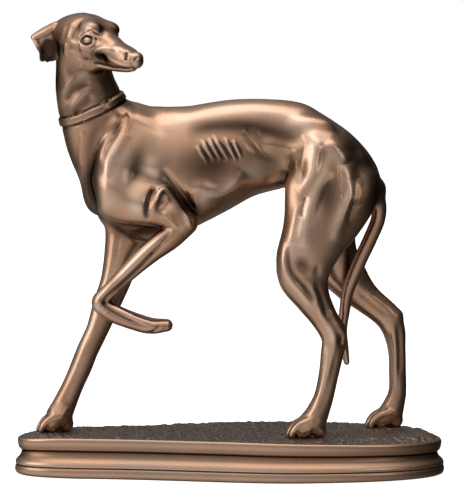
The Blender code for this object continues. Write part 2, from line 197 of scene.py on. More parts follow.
@dataclass
class Limb:
    """An oval profile carried along a path, with rounded ends.

    Args:
        stations: x, y, z, half size sideways, half size in the plane of the limb.
        blend: fillet radius where it meets what was joined before it.
        space: the frame of its stations; not used.
        side: the direction that the profile's sideways axis follows.
        cap: how far the rounded ends reach, as a share of the smaller half size.
        upright: whether its sections stand upright across x instead of across the path.
    """

    stations: Rows
    blend: float = 4.0
    space: Space = Space.BODY
    side: Place = (0.0, 1.0, 0.0)
    cap: float = 1.0
    upright: bool = False

    BATCH = 20000

    def __post_init__(self) -> None:
        """Sample the path and its frames once."""
        rows = curve_through(self.stations, 1.0)
        centres = rows[:, :3]
        along = np.gradient(centres, axis=0)
        step = np.linalg.norm(along, axis=1)
        along = along / step[:, None]
        self.lean = np.ones(len(rows))
        if self.upright:
            self.lean = 1 / np.sqrt(1 + np.gradient(rows[:, 4], centres[:, 0]) ** 2)
            along = np.tile((1.0, 0.0, 0.0), (len(rows), 1))
            step = np.gradient(centres[:, 0])
        across = np.array(self.side) - along * (along @ np.array(self.side))[:, None]
        across /= np.linalg.norm(across, axis=1)[:, None]
        self.rows = rows
        self.step = step
        self.along, self.across = along, across
        self.deep = np.cross(along, across)
        reach = np.maximum(rows[:, 3:5].max(axis=1), self.cap * rows[:, 3:5].min(axis=1))[:, None]
        self.low = (centres - reach).min(axis=0)
        self.high = (centres + reach).max(axis=0)

    def distance(self, points: Array) -> Array:
        """Signed distance to the limb's surface, about true near it.

        With u and v the offsets from the nearest centre over the half sizes a and b, the value
        is k0 (k0 - 1) / k1, k0 = |(u/a, v/b)|, k1 = |(u/a^2, v/b^2)|.
        """
        found = in_batches(self.near_distance, points, self.BATCH)
        return np.maximum(found, np.maximum(self.low - points, points - self.high).max(axis=1))

    def near_distance(self, points: Array) -> Array:
        """The distance for one batch of points."""
        centres = self.rows[:, :3]
        last = len(centres) - 1
        if self.upright:
            nearest = np.abs(points[:, :1] - centres[:, 0]).argmin(axis=1)
        else:
            nearest = (np.sum(centres**2, axis=1) - 2 * points @ centres.T).argmin(axis=1)
        offset = points - centres[nearest]
        run = np.einsum("ij,ij->i", offset, self.along[nearest])
        share = run / self.step[nearest]
        other = np.clip(nearest + np.sign(share).astype(int), 0, last)
        beyond = np.where(other == nearest, np.abs(run), 0.0)
        share = np.clip(np.abs(share), 0.0, 1.0)[:, None]
        row = self.rows[nearest] * (1 - share) + self.rows[other] * share
        across = self.across[nearest] * (1 - share) + self.across[other] * share
        deep = self.deep[nearest] * (1 - share) + self.deep[other] * share
        offset = points - row[:, :3]
        sideways = np.einsum("ij,ij->i", offset, across)
        upward = np.einsum("ij,ij->i", offset, deep)
        half_side, half_deep = row[:, 3], row[:, 4]
        half_end = np.minimum(half_side, half_deep) * self.cap
        whole = np.sqrt((sideways / half_side) ** 2 + (upward / half_deep) ** 2 + (beyond / half_end) ** 2)
        slope = np.sqrt((sideways / half_side**2) ** 2 + (upward / half_deep**2) ** 2
                        + (beyond / half_end**2) ** 2)
        return whole * (whole - 1.0) / np.maximum(slope, 1e-6) * self.lean[nearest]


def ball(centre: Station, half_sizes: Station, blend: float = 3.0, space: Space = Space.BODY) -> Limb:
    """A limb of almost no length: a ball scaled to its half sizes along x, y and z."""
    x, y, z = centre
    along, across, upward = half_sizes
    nudge = 0.02
    rows = ((x - nudge, y, z, across, upward), (x + nudge, y, z, across, upward))
    return Limb(rows, blend, space, cap=along / min(across, upward))


@dataclass(frozen=True)
class Ridge:
    """A carved line: height exp(-(d / width)^2), d the distance to its path; a groove if below 0.

    Args:
        path: x, z points on the side view, or x, y, z points of its frame.
        width: how wide it is, in mm.
        height: how far it stands out, in mm.
        flank: the side it lies on, for a path on the side view.
        space: the frame of its path.
        fade: the share of its length over which each end fades out.
    """

    path: Rows
    width: float
    height: float
    flank: Flank = Flank.BOTH
    space: Space = Space.BODY
    fade: float = 0.25

    REACH = 2.6

    def relief(self, points: Array) -> Array:
        """How far the ridge lifts the surface at each point."""
        flat = len(self.path[0]) == 2
        path = [(x, 0.0, z) for x, z in self.path] if flat else self.path
        samples = curve_through(path, self.width * 0.5)
        columns = [0, 2] if flat else [0, 1, 2]
        samples = samples[:, columns]
        reach = self.REACH * self.width
        seen = points[:, columns]
        close = in_box(seen, samples.min(0) - reach, samples.max(0) + reach)
        lift = np.zeros(len(points))
        picked = seen[close]
        spot = (np.sum(samples**2, 1) - 2 * picked @ samples.T).argmin(axis=1)
        along = np.gradient(samples, axis=0)
        step = np.linalg.norm(along, axis=1)
        offset = picked - samples[spot]
        run = np.einsum("ij,ij->i", offset, along[spot] / step[spot][:, None])
        held = np.clip(run, -0.5 * step[spot], 0.5 * step[spot])
        squared = np.sum(offset**2, axis=1) - run**2 + (run - held) ** 2
        place = (spot + held / step[spot]) / (len(samples) - 1)
        ends = np.clip(np.minimum(place, 1 - place) / self.fade, 0, 1)
        lift[close] = self.height * ends * (2 - ends) * np.exp(-np.maximum(squared, 0) / self.width**2)
        return lift * side_share(points, self.flank) if flat else lift


@dataclass(frozen=True)
class Swell:
    """A soft carved swelling: height exp(-d^2), d scaled by its half sizes; a hollow if below 0.

    Args:
        centre: x, z on the side view, or x, y, z of its frame.
        half_sizes: along the form and across it, and sideways where the centre has three numbers.
        height: how far it stands out, in mm.
        turn: degrees that the form's length is turned, from +x towards +z.
        flank: the side it lies on, for a centre on the side view.
        space: the frame of its centre.
    """

    centre: Station
    half_sizes: Station
    height: float
    turn: float = 0.0
    flank: Flank = Flank.BOTH
    space: Space = Space.BODY

    def relief(self, points: Array) -> Array:
        """How far the swelling lifts the surface at each point."""
        flat = len(self.centre) == 2
        x, z = self.centre[0], self.centre[-1]
        cos, sin = math.cos(math.radians(self.turn)), math.sin(math.radians(self.turn))
        dx, dz = points[:, 0] - x, points[:, 2] - z
        squared = ((dx * cos + dz * sin) / self.half_sizes[0]) ** 2
        squared += ((dz * cos - dx * sin) / self.half_sizes[1]) ** 2
        if flat:
            return self.height * np.exp(-squared) * side_share(points, self.flank)
        squared += ((points[:, 1] - self.centre[1]) / self.half_sizes[2]) ** 2
        return self.height * np.exp(-squared)


def side_share(points: Array, flank: Flank) -> Array:
    """1 on the carved flanks and 0 on the other, fading out over the last 4 mm to the middle."""
    outward = np.abs(points[:, 1]) if flank is Flank.BOTH else points[:, 1] * flank.value
    return np.clip(outward / MIDDLE_FADE, 0.0, 1.0)


@dataclass
class Torso:
    """Chest, belly, rump and neck, with the ribs and muscles of the flanks."""

    trunk: Rows = (
        (-69.4, 0, 130, 10, 11), (-62, 0, 137, 15.5, 25), (-53, 0, 141.5, 18, 34),
        (-43.5, 0, 142.3, 19.5, 36), (-32, 0, 143.2, 21, 35), (-21.5, 0, 145.2, 21.5, 33.3),
        (-10.5, 0, 148.6, 21, 31.4), (0.5, 0, 152.3, 19.5, 29.3), (12, 0, 155.8, 17, 26.4),
        (21.5, 0, 157.3, 15, 24.9), (30, 0, 157.8, 13.5, 23.4), (37.5, 0, 156, 13.5, 22.4),
    )
    rump: Rows = (
        (21.5, 0, 157.3, 14, 24), (30, 0, 158.2, 13.5, 23.4), (37.5, 0, 156, 13.5, 22.7),
        (54, 0, 149.2, 15, 18.8), (68, 0, 138.5, 13, 15), (75.6, 0, 132.2, 8.8, 9.8),
    )
    neck: Rows = (
        (-58.5, 0, 143, 17, 22), (-65, 0, 155, 16, 21.8), (-69.8, -2, 167, 15, 20.8),
        (-74.4, -4, 178, 14, 18.4), (-77.4, -7, 189, 12.5, 16.3), (-78.6, -9, 200, 11.5, 14.6),
        (-79.3, -10, 208.5, 11, 13.6),
    )
    rib_tops: Rows = (
        (-18.3, 157.9), (-15.6, 161), (-11.9, 161.8), (-9.4, 163.4), (-3.2, 162.3), (1.3, 161),
    )
    rib_ends: Rows = (
        (-11.6, 148.2), (-7.9, 149.3), (-4.5, 149.6), (-0.1, 149.3), (3.7, 149), (6.4, 150.8),
    )
    rib_width: float = 1.05
    rib_lines: tuple[Place, ...] = ((0, 0, 0.75), (1.7, 0.4, -0.2))

    THROAT_TOP = ((-90, 183.6), (-86.5, 189), (-83.2, 191.6), (-77.6, 194.6), (-69.6, 196.9))
    THROAT_GROOVE = ((-88, 180.5), (-84.5, 185.5), (-80.5, 188.6), (-74, 191))
    THROAT_FOLD = ((-86.5, 175), (-83.5, 178.7), (-79.6, 183), (-72.7, 189))
    LOWER_GROOVE = ((-83.5, 174), (-79.5, 178.2), (-73, 184))

    def forms(self) -> list[Limb]:
        """The trunk, the neck and the larger muscles over them."""
        swells = [
            ((44, 9.5, 166), (12, 5, 7)), ((61, 9, 148), (13, 6.5, 9)), ((-44, 13, 149), (15, 7.5, 16)),
            ((-54, 2, 165), (15, 8, 15)),
        ]
        both = [ball((x, side * y, z), sizes, 4.0) for (x, y, z), sizes in swells for side in (-1, 1)]
        return [Limb(self.trunk, 3.0, upright=True), Limb(self.rump, 1.0), Limb(self.neck, 5.0), *both]

    def carving(self) -> list[Ridge | Swell]:
        """The carved lines and swellings, the same on both flanks unless one is named."""
        ribs = []
        for dx, dz, height in self.rib_lines:
            ribs += [Ridge(((x0 + dx, z0 + dz), (x1 + dx, z1 + dz)), self.rib_width, height, fade=0.5)
                     for (x0, z0), (x1, z1) in zip(self.rib_tops, self.rib_ends)]
        back_edge = (
            (-40, 167), (-31.2, 168.7), (-21.4, 168.1), (-9.4, 172.5), (10.2, 173), (23.3, 170.3),
            (34.2, 166.4), (45, 161.6),
        )
        rib_arc = (
            (-25.1, 137.9), (-21.3, 139), (-17, 139.5), (-13.2, 137.9), (-7.8, 137.3), (-2.9, 138.9),
            (2, 143.3), (5.8, 148.7),
        )
        costal = ((6.9, 166.5), (12.3, 160.6), (17.8, 154.6), (23.3, 151.8), (33.1, 150.7))
        return ribs + [
            Ridge(tuple((x, z + 6.5) for x, z in back_edge), 6, 1.2),
            Ridge(((-22, 163), (-9.4, 165), (10, 165), (25, 161.5)), 5, -0.8),
            Ridge(tuple((x + 2, z - 5) for x, z in rib_arc), 4.4, 1.7),
            Swell((-7, 147), (14, 8), -1.2, 8), Ridge(costal, 2.6, -1), Swell((9, 152), (8, 7), 0.7, -30),
            Ridge(((12.3, 167), (14.9, 161.7)), 1.6, 0.4),
            Ridge(((17.6, 159), (24, 158), (30.5, 156.3), (38.4, 153.8)), 3.2, 1.1),
            Swell((28, 146.5), (9, 4), -1, -5), Ridge(((18, 138.5), (24, 141), (31, 143.5)), 2.4, -0.6),
            Ridge(((38.5, 161), (43.5, 162.3), (46.2, 157.4), (44.8, 147.1), (40.5, 138), (36.1, 133.2)),
                  3.3, 1.1),
            Swell((38.4, 146.5), (2.2, 6.5), -1.2, -6), Swell((49, 150.5), (3.2, 6), -0.9, -8),
            Ridge(((51.5, 160.5), (55.8, 157.5), (60.6, 152.7), (62.8, 148.5)), 3.4, 0.9),
        ]

    def neck_carving(self) -> list[Ridge | Swell]:
        """The folds of the throat, and the straps that run from the collar to the shoulder."""
        near = Flank.NEAR
        strap_a = ((-57.0, 175.6), (-64.4, 165.4), (-68.7, 154.5), (-70.7, 147.1))
        strap_b = ((-51.8, 178.3), (-54.6, 167.5), (-59.8, 157.9), (-64.1, 150.9), (-66.0, 141.0))
        return [
            Ridge(strap_a, 2.3, 0.9, near), Ridge(strap_b, 3.2, 1, near),
            Ridge(((-60.1, 170.2), (-67.7, 161), (-72.1, 152.3), (-74.1, 141.6), (-73.4, 131), (-70, 123)),
                  2.4, -1.3, near),
            Ridge(((-57.5, 171), (-61.5, 163.2), (-65.8, 155.7), (-68, 150)), 1.4, -0.7, near),
            Ridge(((-50.6, 180), (-51.6, 172), (-54.5, 163)), 2.2, -0.4),
            Ridge(((-78, 165.4), (-79.4, 157.7), (-80.3, 149.4), (-78.8, 144.9)), 1.8, 0.6, near),
            Ridge(Torso.THROAT_TOP, 2.4, 0.7, near), Ridge(Torso.THROAT_GROOVE, 2.2, -0.6, near),
            Ridge(Torso.THROAT_FOLD, 1.8, 0.6, near), Ridge(Torso.LOWER_GROOVE, 2, -0.5, near),
            Ridge(((-76.8, 199.8), (-80.4, 198.3), (-85.1, 196.2)), 1.8, 0.5, near),
        ]


@dataclass
class Forelegs:
    """The raised near foreleg, the far foreleg that stands, and the shoulders over them."""

    near_shoulder: Rows = (
        (-49.5, -10, 168.5, 6, 9.5), (-56.5, -14, 152.5, 8, 13), (-62.5, -15.5, 137, 8.5, 12.5),
    )
    near_upper_arm: Rows = (
        (-61.5, -16, 131, 8.5, 12.3), (-51, -18, 127.3, 8.5, 12.5), (-38.5, -19, 124, 7.5, 10.5),
        (-24.5, -20, 117, 6, 7),
    )
    near_forearm: Rows = (
        (-23.5, -20, 116.5, 6, 6.5), (-32, -20, 109, 6, 6.7), (-42.5, -19, 101, 5.3, 6),
        (-54.5, -18, 90, 4.6, 4.8), (-64.5, -17, 80, 4.3, 4.3), (-69.5, -16, 73.5, 4.8, 4.8),
        (-63.5, -16, 68, 5, 4.8), (-53.5, -16, 64, 5.4, 4.8), (-43, -16, 61, 5.8, 4.5),
        (-34.2, -16, 61.2, 4, 3.5),
    )
    far_shoulder: Rows = (
        (-49.5, 10, 168.5, 6, 9.5), (-55, 13, 150, 8, 13), (-60, 14, 134, 8, 14.5), (-60, 13, 122, 8, 12),
    )
    far_leg: Rows = (
        (-54, 11, 124.5, 9, 19), (-54, 11, 111.5, 8, 16.3), (-58.6, 10, 98, 7, 10.8),
        (-62.8, 9, 83, 6.2, 8.4), (-67.8, 8, 70, 5.4, 7.5), (-73, 7, 56, 5, 6.2), (-78.2, 6, 45, 5.2, 6),
        (-82, 6, 35.5, 5.4, 6), (-86.4, 5, 25.5, 4.8, 5.8), (-90.7, 5, 16, 5, 6.4), (-93.6, 4, 9.6, 6.2, 7),
    )
    far_paw: Rows = (
        (-90.4, 5, 4, 4.5, 4.2), (-94.2, 4, 7.2, 6, 7), (-97.8, 4, 4, 6.2, 5.4), (-101, 4, 2, 5, 2.6),
    )

    FOREARM_GROOVE = (
        (-29.5, 114.2), (-35.6, 107.4), (-46.6, 94.9), (-58.3, 83.8), (-65.1, 78), (-67.3, 73.8),
        (-64.3, 70), (-57, 66), (-46.8, 61.9), (-39.7, 60),
    )

    def forms(self) -> list[Limb]:
        """Shoulders, legs and the standing paw."""
        return [
            Limb(self.near_shoulder, 7), Limb(self.near_upper_arm, 7), Limb(self.near_forearm, 1.8),
            Limb(self.far_shoulder, 7), Limb(self.far_leg, 3), *paw(self.far_paw),
        ]

    def carving(self) -> list[Ridge | Swell]:
        """The muscles of the raised leg, and the sinews of both."""
        near, far = Flank.NEAR, Flank.FAR
        return [
            Swell((-64, 146), (5.5, 12), 0.9, 0, near), Swell((-50.5, 143), (4, 10), -0.9, -15, near),
            Swell((-41, 146), (5, 5.5), 1, 0, near), Swell((-48.5, 128), (5, 7), 1, 20, near),
            Swell((-65.5, 124.5), (5.5, 6), 0.7, 0, near),
            Ridge(((-39.6, 135.6), (-42.6, 129.5), (-43.8, 122.8), (-42.8, 118.5)), 1.5, -1.3, near),
            Ridge(((-41, 121.3), (-39.4, 128.3), (-36.6, 134), (-33.2, 134.4), (-28.4, 128.1),
                  (-22.4, 119.1), (-18.5, 112.6)), 1.5, 1, near),
            Ridge(((-36, 123), (-32.1, 118.8), (-27.8, 114.2)), 1.4, 0.7, near),
            Swell((-34, 126.5), (3, 4.2), -1.1, -45, near),
            Ridge(((-36.5, 146), (-31, 138.5), (-24.7, 130.5), (-17.2, 120)), 2.2, -1.2, near),
            Ridge(((-66.2, 114), (-51.2, 115.2), (-40.3, 115.4), (-30.5, 112.7)), 2.4, -0.8, near),
            Ridge(Forelegs.FOREARM_GROOVE, 1.3, -0.9, near),
            Ridge(((-58.8, 80.6), (-61.4, 73.9), (-57.3, 70.2), (-50.3, 66.2), (-41.4, 63.2)),
                  1.3, 0.5, near),
            Ridge(((-44.5, 57.5), (-41, 58.5), (-37, 61.5)), 1, -0.6, near),
            Ridge(((-60, 112), (-62, 97), (-66, 82), (-73, 66)), 1.6, -0.6, far),
            Ridge(((-78, 52), (-83, 38), (-90, 20)), 1.4, 0.5),
            Ridge(((-75, 50), (-80, 36), (-87, 20)), 1.2, -0.6),
        ]


@dataclass
class HindLegs:
    """Both hind legs with their hamstrings and paws."""

    near_leg: Rows = (
        (49.5, -12, 155, 8, 14), (49, -14, 134, 9.5, 19.5), (43.5, -17, 112.5, 9, 15.5),
        (38, -18, 95.5, 8.5, 13.7), (37, -18, 86, 7.5, 10.7), (43, -17, 75, 6.5, 8),
        (50.2, -15, 64, 5, 6.4), (55.9, -14, 54.5, 4.5, 6.8), (54.9, -14, 44.5, 4.4, 6.1),
        (53.1, -14, 33.5, 4.3, 5.4), (50.5, -14, 21.5, 4.8, 5.4), (46.5, -14, 11.5, 6, 6.6),
    )
    far_leg: Rows = (
        (55, 12, 154.5, 8, 14), (57.5, 13, 129.5, 9.5, 17.5), (55, 15, 109, 9, 13), (57.5, 16, 92.5, 8, 12),
        (66.5, 17, 79.5, 7, 9.5), (75.5, 17, 71, 5.5, 7.3), (85.5, 17, 63, 4.8, 6.8),
        (90.6, 17, 55.5, 4.4, 6.6), (92.7, 17, 43.5, 4.2, 5), (93.2, 17, 31, 4.2, 4.8),
        (93.2, 17, 19.5, 4.6, 5), (90.5, 17, 10, 6, 6.4),
    )
    near_hamstring: Rows = (
        (71, -9, 140, 7, 9.5), (68.5, -12, 130, 8, 10.8), (59.8, -15, 117, 8, 11.2),
        (50.2, -17, 103, 7.5, 9.8), (45, -17, 90, 6.5, 8.6), (46.4, -16.5, 79, 5, 6.8),
        (52, -15.5, 67, 3.6, 5.2), (58.3, -14.5, 58.5, 2.6, 4),
    )
    far_hamstring: Rows = (
        (71, 9, 140, 7, 9.5), (68, 12, 129, 8, 9.5), (60.5, 14, 114, 8, 9.3), (60.3, 15, 99.5, 7, 9.3),
        (67, 16.5, 86, 6, 8.6), (76, 17, 75, 4.6, 6.2), (87, 17, 66.5, 3.6, 4.4),
        (92.6, 17, 62.5, 3.2, 3.6),
    )
    near_paw: Rows = (
        (48.2, -14, 4, 4.6, 4.2), (44, -14, 7, 6, 7), (39, -14, 4.4, 6.2, 5.6), (35.5, -14, 2, 5.2, 2.6),
    )
    far_paw: Rows = (
        (92.3, 17, 4, 4.6, 4.2), (88.8, 17, 6.4, 6, 6.4), (84.2, 17, 3.9, 6, 5), (80.8, 17, 2, 5, 2.4),
    )

    THIGH_FRONT = ((53.5, 144.5), (46.9, 134.8), (41.5, 121.8), (38.8, 111.1), (37.7, 103.7))
    SHANK_GROOVE = ((30.9, 104.7), (31.4, 94.5), (34.6, 88.2), (41, 81.2), (45.5, 74.8))

    def forms(self) -> list[Limb]:
        """Legs, hamstrings and paws."""
        return [
            Limb(self.near_leg, 6), Limb(self.far_leg, 6), Limb(self.near_hamstring, 3.5),
            Limb(self.far_hamstring, 3.5), *paw(self.near_paw), *paw(self.far_paw),
        ]

    def carving(self) -> list[Ridge | Swell]:
        """The muscles of the thighs, then the sinews of the shanks and hocks."""
        near, far = Flank.NEAR, Flank.FAR
        thigh = [
            Ridge(HindLegs.THIGH_FRONT, 3.6, 1),
            Ridge(((40.4, 131.8), (39, 126), (37.7, 119.2)), 1.5, -0.7),
            Ridge(((36.7, 128.3), (33.4, 116.3), (31.4, 105.2)), 2.2, 0.6),
            Swell((51.5, 129), (6, 12), -1, -12),
            Ridge(((57, 147.5), (57.9, 134.3), (60, 124.5)), 0.9, 0.25),
            Ridge(((61.8, 148), (64.6, 140), (64.4, 132.2), (61.2, 123.6), (54.7, 107.8)), 3.3, 0.9),
            Ridge(((68.3, 140.4), (68.8, 133), (66.5, 127)), 2.4, 0.5),
            Ridge(((66.8, 141), (66.8, 131), (62, 117)), 1.9, -0.4),
        ]
        shank = [
            Ridge(((29.5, 106), (28.7, 95), (31.2, 87), (38, 79), (46, 69)), 2.2, 0.6, near),
            Ridge(HindLegs.SHANK_GROOVE, 1.6, -0.8, near),
            Ridge(((42.2, 85.3), (45.5, 78.6), (48.3, 69.7), (52.3, 61.2)), 1.7, 0.8, near),
            Ridge(((45.5, 84), (49.2, 75.1), (52, 65.1)), 1.6, -0.8, near),
            Swell((38.7, 95.5), (3.8, 4.6), -1.2, 30, near), Swell((46.5, 91.5), (1.6, 3), -0.7, 0, near),
            Ridge(((51.3, 63.9), (55.2, 57.5), (56, 52), (54.2, 44.4), (51.6, 34.6), (48.3, 23.6),
                  (43.2, 11.1)), 1.5, 0.6, near),
            Swell((59.6, 53.5), (1.5, 3), -1.5, 0, near),
            Ridge(((53.5, 70.5), (58.5, 61.5), (62.6, 54.6)), 1.2, 0.7, near),
            Ridge(((57, 47), (55, 36), (51.6, 24), (47.5, 13.5)), 1.4, -0.5, near),
        ]
        far_shank = [
            Ridge(((90, 60.6), (91.3, 44.2), (91.4, 30), (89.5, 12.3)), 1.3, 0.7),
            Ridge(((93, 59.1), (94, 44.2), (94.2, 29.8)), 1.1, -0.8),
            Ridge(((66, 87), (76, 75.5), (86, 67.5)), 2, 0.5, far),
            Ridge(((70, 77.5), (80, 69.5), (88, 62.5)), 1.6, -0.6, far),
        ]
        return thigh + shank + far_shank


@dataclass
class Tail:
    """The tail, hanging and tucked between the hocks."""

    stations: Rows = (
        (73, 0, 140.5, 6), (77, 0, 135, 4.7), (80.6, 0, 127, 4.2), (80.6, 1, 117.5, 4),
        (76.3, 1, 106.5, 3.9), (71.6, 1, 96.3, 3.8), (67.1, 1, 85.5, 3.6), (64, 1, 76.5, 3.3),
        (62.5, 1, 66.5, 3), (61.5, 2, 56.5, 2.7), (62.5, 2, 46.5, 2.5), (64, 2, 38.5, 1.6),
    )

    def forms(self) -> list[Limb]:
        """One round limb."""
        return [Limb(tuple((x, y, z, r, r) for x, y, z, r in self.stations), 1.5)]


def paw(stations: Rows) -> list[Limb]:
    """A paw and its four toes, each toe a small limb that bends down to its nail."""
    x, y, z, half_width, _ = stations[-2]
    toes = []
    for share in (-0.75, -0.27, 0.27, 0.75):
        reach = 1.6 if abs(share) < 0.5 else 0.0
        across = y + share * half_width
        toes.append(Limb((
            (x + 5.0, across, z + 5.6, 1.7, 2.0), (x - 0.8 - reach, across, z + 3.4, 1.8, 2.1),
            (x - 4.2 - reach, across, z + 0.2, 1.7, 2.0), (x - 6.0 - reach, across, z - 2.6, 1.3, 1.4),
        ), 1.1))
    return [Limb(stations[:-1], 2.0), *toes]


@dataclass
class Head:
    """Skull, muzzle, jaw, eyes and folded ears, in the head's frame: forward, left, up."""

    skull: Rows = (
        (2, 0, -6, 6.5, 6.5), (8, 0, -4.2, 10.5, 10.2), (18, 0, -2.6, 12.6, 12.2),
        (26, 0, -2.4, 12.2, 12.4), (33, 0, -4.3, 10.4, 11.2), (40, 0, -6.9, 8, 9.1),
        (48, 0, -8.8, 6.4, 7.2), (55.5, 0, -10, 5.4, 5.8), (61, 0, -10.6, 4.6, 4.5),
        (62.8, 0, -10.7, 3.6, 3.6),
    )
    jaw: Rows = (
        (22, 0, -12.5, 6.5, 5.2), (32, 0, -14.6, 5, 3.6), (44, 0, -15.6, 3.8, 2.3), (56, 0, -15.2, 3, 1.9),
        (60.5, 0, -14.4, 2.4, 1.6),
    )
    # lip, brow, cheek, throat and eye: centre, half sizes and blend
    balls: Sequence[tuple[Station, Station, float]] = (
        ((53, 2.8, -9.6), (9, 3.2, 4.6), 3), ((34, 6.7, 2.9), (6, 3.9, 4.1), 3),
        ((24, 6, -9.5), (8, 4, 7), 5), ((27, 3, -15), (9, 4.5, 5), 5),
        ((34.6, 8.5, -3.1), (2.9, 2.9, 2.5), 0.2),
    )
    rim_centre: Station = (34.5, -3.3)
    ear_hollows: Sequence[tuple[Station, Station, float]] = (
        ((8, 13.6, -8.4), (4.2, 2.6, 1.8), -1.3), ((7.6, 13.2, -12.4), (3.4, 2.4, 1.6), -0.8),
        ((2.4, 14.6, -7.6), (1.6, 1.6, 2.2), -0.6),
    )

    def forms(self) -> list[Limb]:
        """The skull, jaw, nose, cheeks, brows, lids and ears."""
        shapes = [
            Limb(self.skull, 1, Space.HEAD), Limb(self.jaw, 1.2, Space.HEAD),
            ball((62.6, 0, -8.9), (3.3, 3.9, 3.3), 1.2, Space.HEAD),
        ]
        for side in (-1, 1):
            shapes += [ball((f, side * w, u), sizes, blend, Space.HEAD)
                       for (f, w, u), sizes, blend in self.balls]
            shapes += self.ear(side)
        return shapes

    def ear(self, side: int) -> list[Limb]:
        """One rose ear: a rolled fold over a hanging flap, with its rim and its lobe."""
        fold = ((8, 8, 1, 3, 2.8), (3, 11.5, -2.5, 2.2, 2.6), (-2.5, 14.2, -6.0, 1.4, 1.7))
        flap = ((8.5, 9.0, -5.5, 1.9, 6.5), (4.0, 11.8, -8.0, 1.5, 6.0), (0.5, 13.4, -9.4, 1.2, 4.0))
        lobe = ((9.5, 9.2, -11.2, 1.7, 6.0), (5.2, 12.0, -14.3, 1.5, 4.8))
        rim = (
            (-2.3, 14.4, -6.5, 1, 1), (0.6, 14.4, -9.5, 1, 1), (3.6, 13.7, -13, 1.1, 1.1),
            (4.8, 13.2, -16.8, 1.5, 1.5),
        )
        return [
            Limb(tuple((f, side * w, u, a, b) for f, w, u, a, b in rows), blend, Space.HEAD)
            for rows, blend in ((flap, 1.2), (lobe, 1.0), (fold, 0.8), (rim, 0.8))
        ]

    def cuts(self) -> list[Limb]:
        """The nostrils."""
        slit = ((65.9, 2, -7.7, 0.5), (65.2, 3, -8.6, 0.6), (64.6, 3.5, -9.9, 0.4))
        return [Limb(tuple((f, side * w, u, r, r) for f, w, u, r in slit), 0.5, Space.HEAD)
                for side in (-1, 1)]

    def carving(self) -> list[Ridge | Swell]:
        """The face's carved lines, in forward and up, the same on both sides."""
        def line(path: Rows, width: float, height: float) -> Ridge:
            """A carved line on both sides of the face."""
            return Ridge(path, width, height, Flank.BOTH, Space.HEAD)

        def swell(centre: Station, sizes: Station, height: float, turn: float = 0.0) -> Swell:
            """A carved swelling on both sides of the face."""
            return Swell(centre, sizes, height, turn, Flank.BOTH, Space.HEAD)

        def around(part: Rows, middle: float, growth: float) -> Rows:
            """A part of the eye's rim, grown away from the eye."""
            return tuple((34.6 + 1.3 * (f - ahead), middle + growth * (u - up)) for f, u in part)

        ahead, up = self.rim_centre
        turns = [(math.cos(t), math.sin(t)) for t in np.linspace(0, 2 * math.pi, 21)]
        rim = tuple((ahead + 3.2 * c, up + 0.55 * c + 2.1 * s * abs(s) ** 0.35) for c, s in turns)
        lid, under = around(rim[:11], -3.1, 1.45), around(rim[10:], -3.3, 1.5)
        return [
            line(rim, 0.5, -0.6), line(lid, 0.6, 0.4), line(under, 0.7, 0.2),
            line(((34.5, 1.3), (36.5, 2.2), (38.2, 1.7), (40, 0.1)), 0.7, -0.3),
            line(((36.5, -0.4), (38, -1), (40, -2.6)), 0.6, -0.3),
            line(((37.2, 0.7), (39.3, -0.4), (41.8, -1.4)), 0.7, 0.3),
            line(((41.4, 0.4), (48.4, -2.6), (56.2, -5.2), (59.5, -6.4)), 1.8, 0.4),
            line(((37.6, -13), (37.9, -10.5), (39.4, -8.4), (41.6, -6.9), (45, -5.6), (50.1, -5),
                  (55, -5.8)), 1.2, 0.6),
            swell((38.2, -5.6), (2.8, 1.6), -0.5, 30), swell((43.2, -10.8), (3.6, 2.2), -1.7, -12),
            line(((44.5, -8.9), (49.4, -11.2), (53.8, -12.6), (59.8, -13.4), (63, -13.2)), 1, 0.4),
            line(((36, -14.6), (42, -15), (48.1, -15.2), (54, -15), (60, -14.6), (64.5, -13.6)), 0.7, -0.5),
            line(((58.6, -5.7), (60, -8.1), (60.4, -11)), 0.8, -0.35),
            line(((25.5, 6.5), (27.4, 2.2), (27.2, -5.5)), 2, -0.5),
            line(((22.6, 6.1), (23.4, 0.8), (22, -5.2)), 1.8, 0.35),
            line(((18.8, 3), (18.2, -4.8)), 1.6, 0.25),
            line(((22.1, -8), (26.8, -9), (31.4, -9.8)), 2, -0.6),
            line(((30, -6.9), (34, -8), (37, -7.6)), 1.3, 0.4),
            line(((21.7, -6.2), (19.9, -10.1), (20.6, -13.7)), 1.6, 0.5),
            swell((31.5, -12.6), (4, 1.8), -0.7, -10),
            Ridge(((20, 0, 10.5), (28, 0, 10.2), (35, 0, 6.8), (42, 0, 1.6)), 2.6, -0.8, space=Space.HEAD),
            Ridge(((66, 0, -9.4), (65.6, 0, -12.4)), 0.5, -0.6, space=Space.HEAD),
            *(Swell((f, side * w, u), sizes, height, space=Space.HEAD)
              for side in (-1, 1) for (f, w, u), sizes, height in self.ear_hollows),
        ]


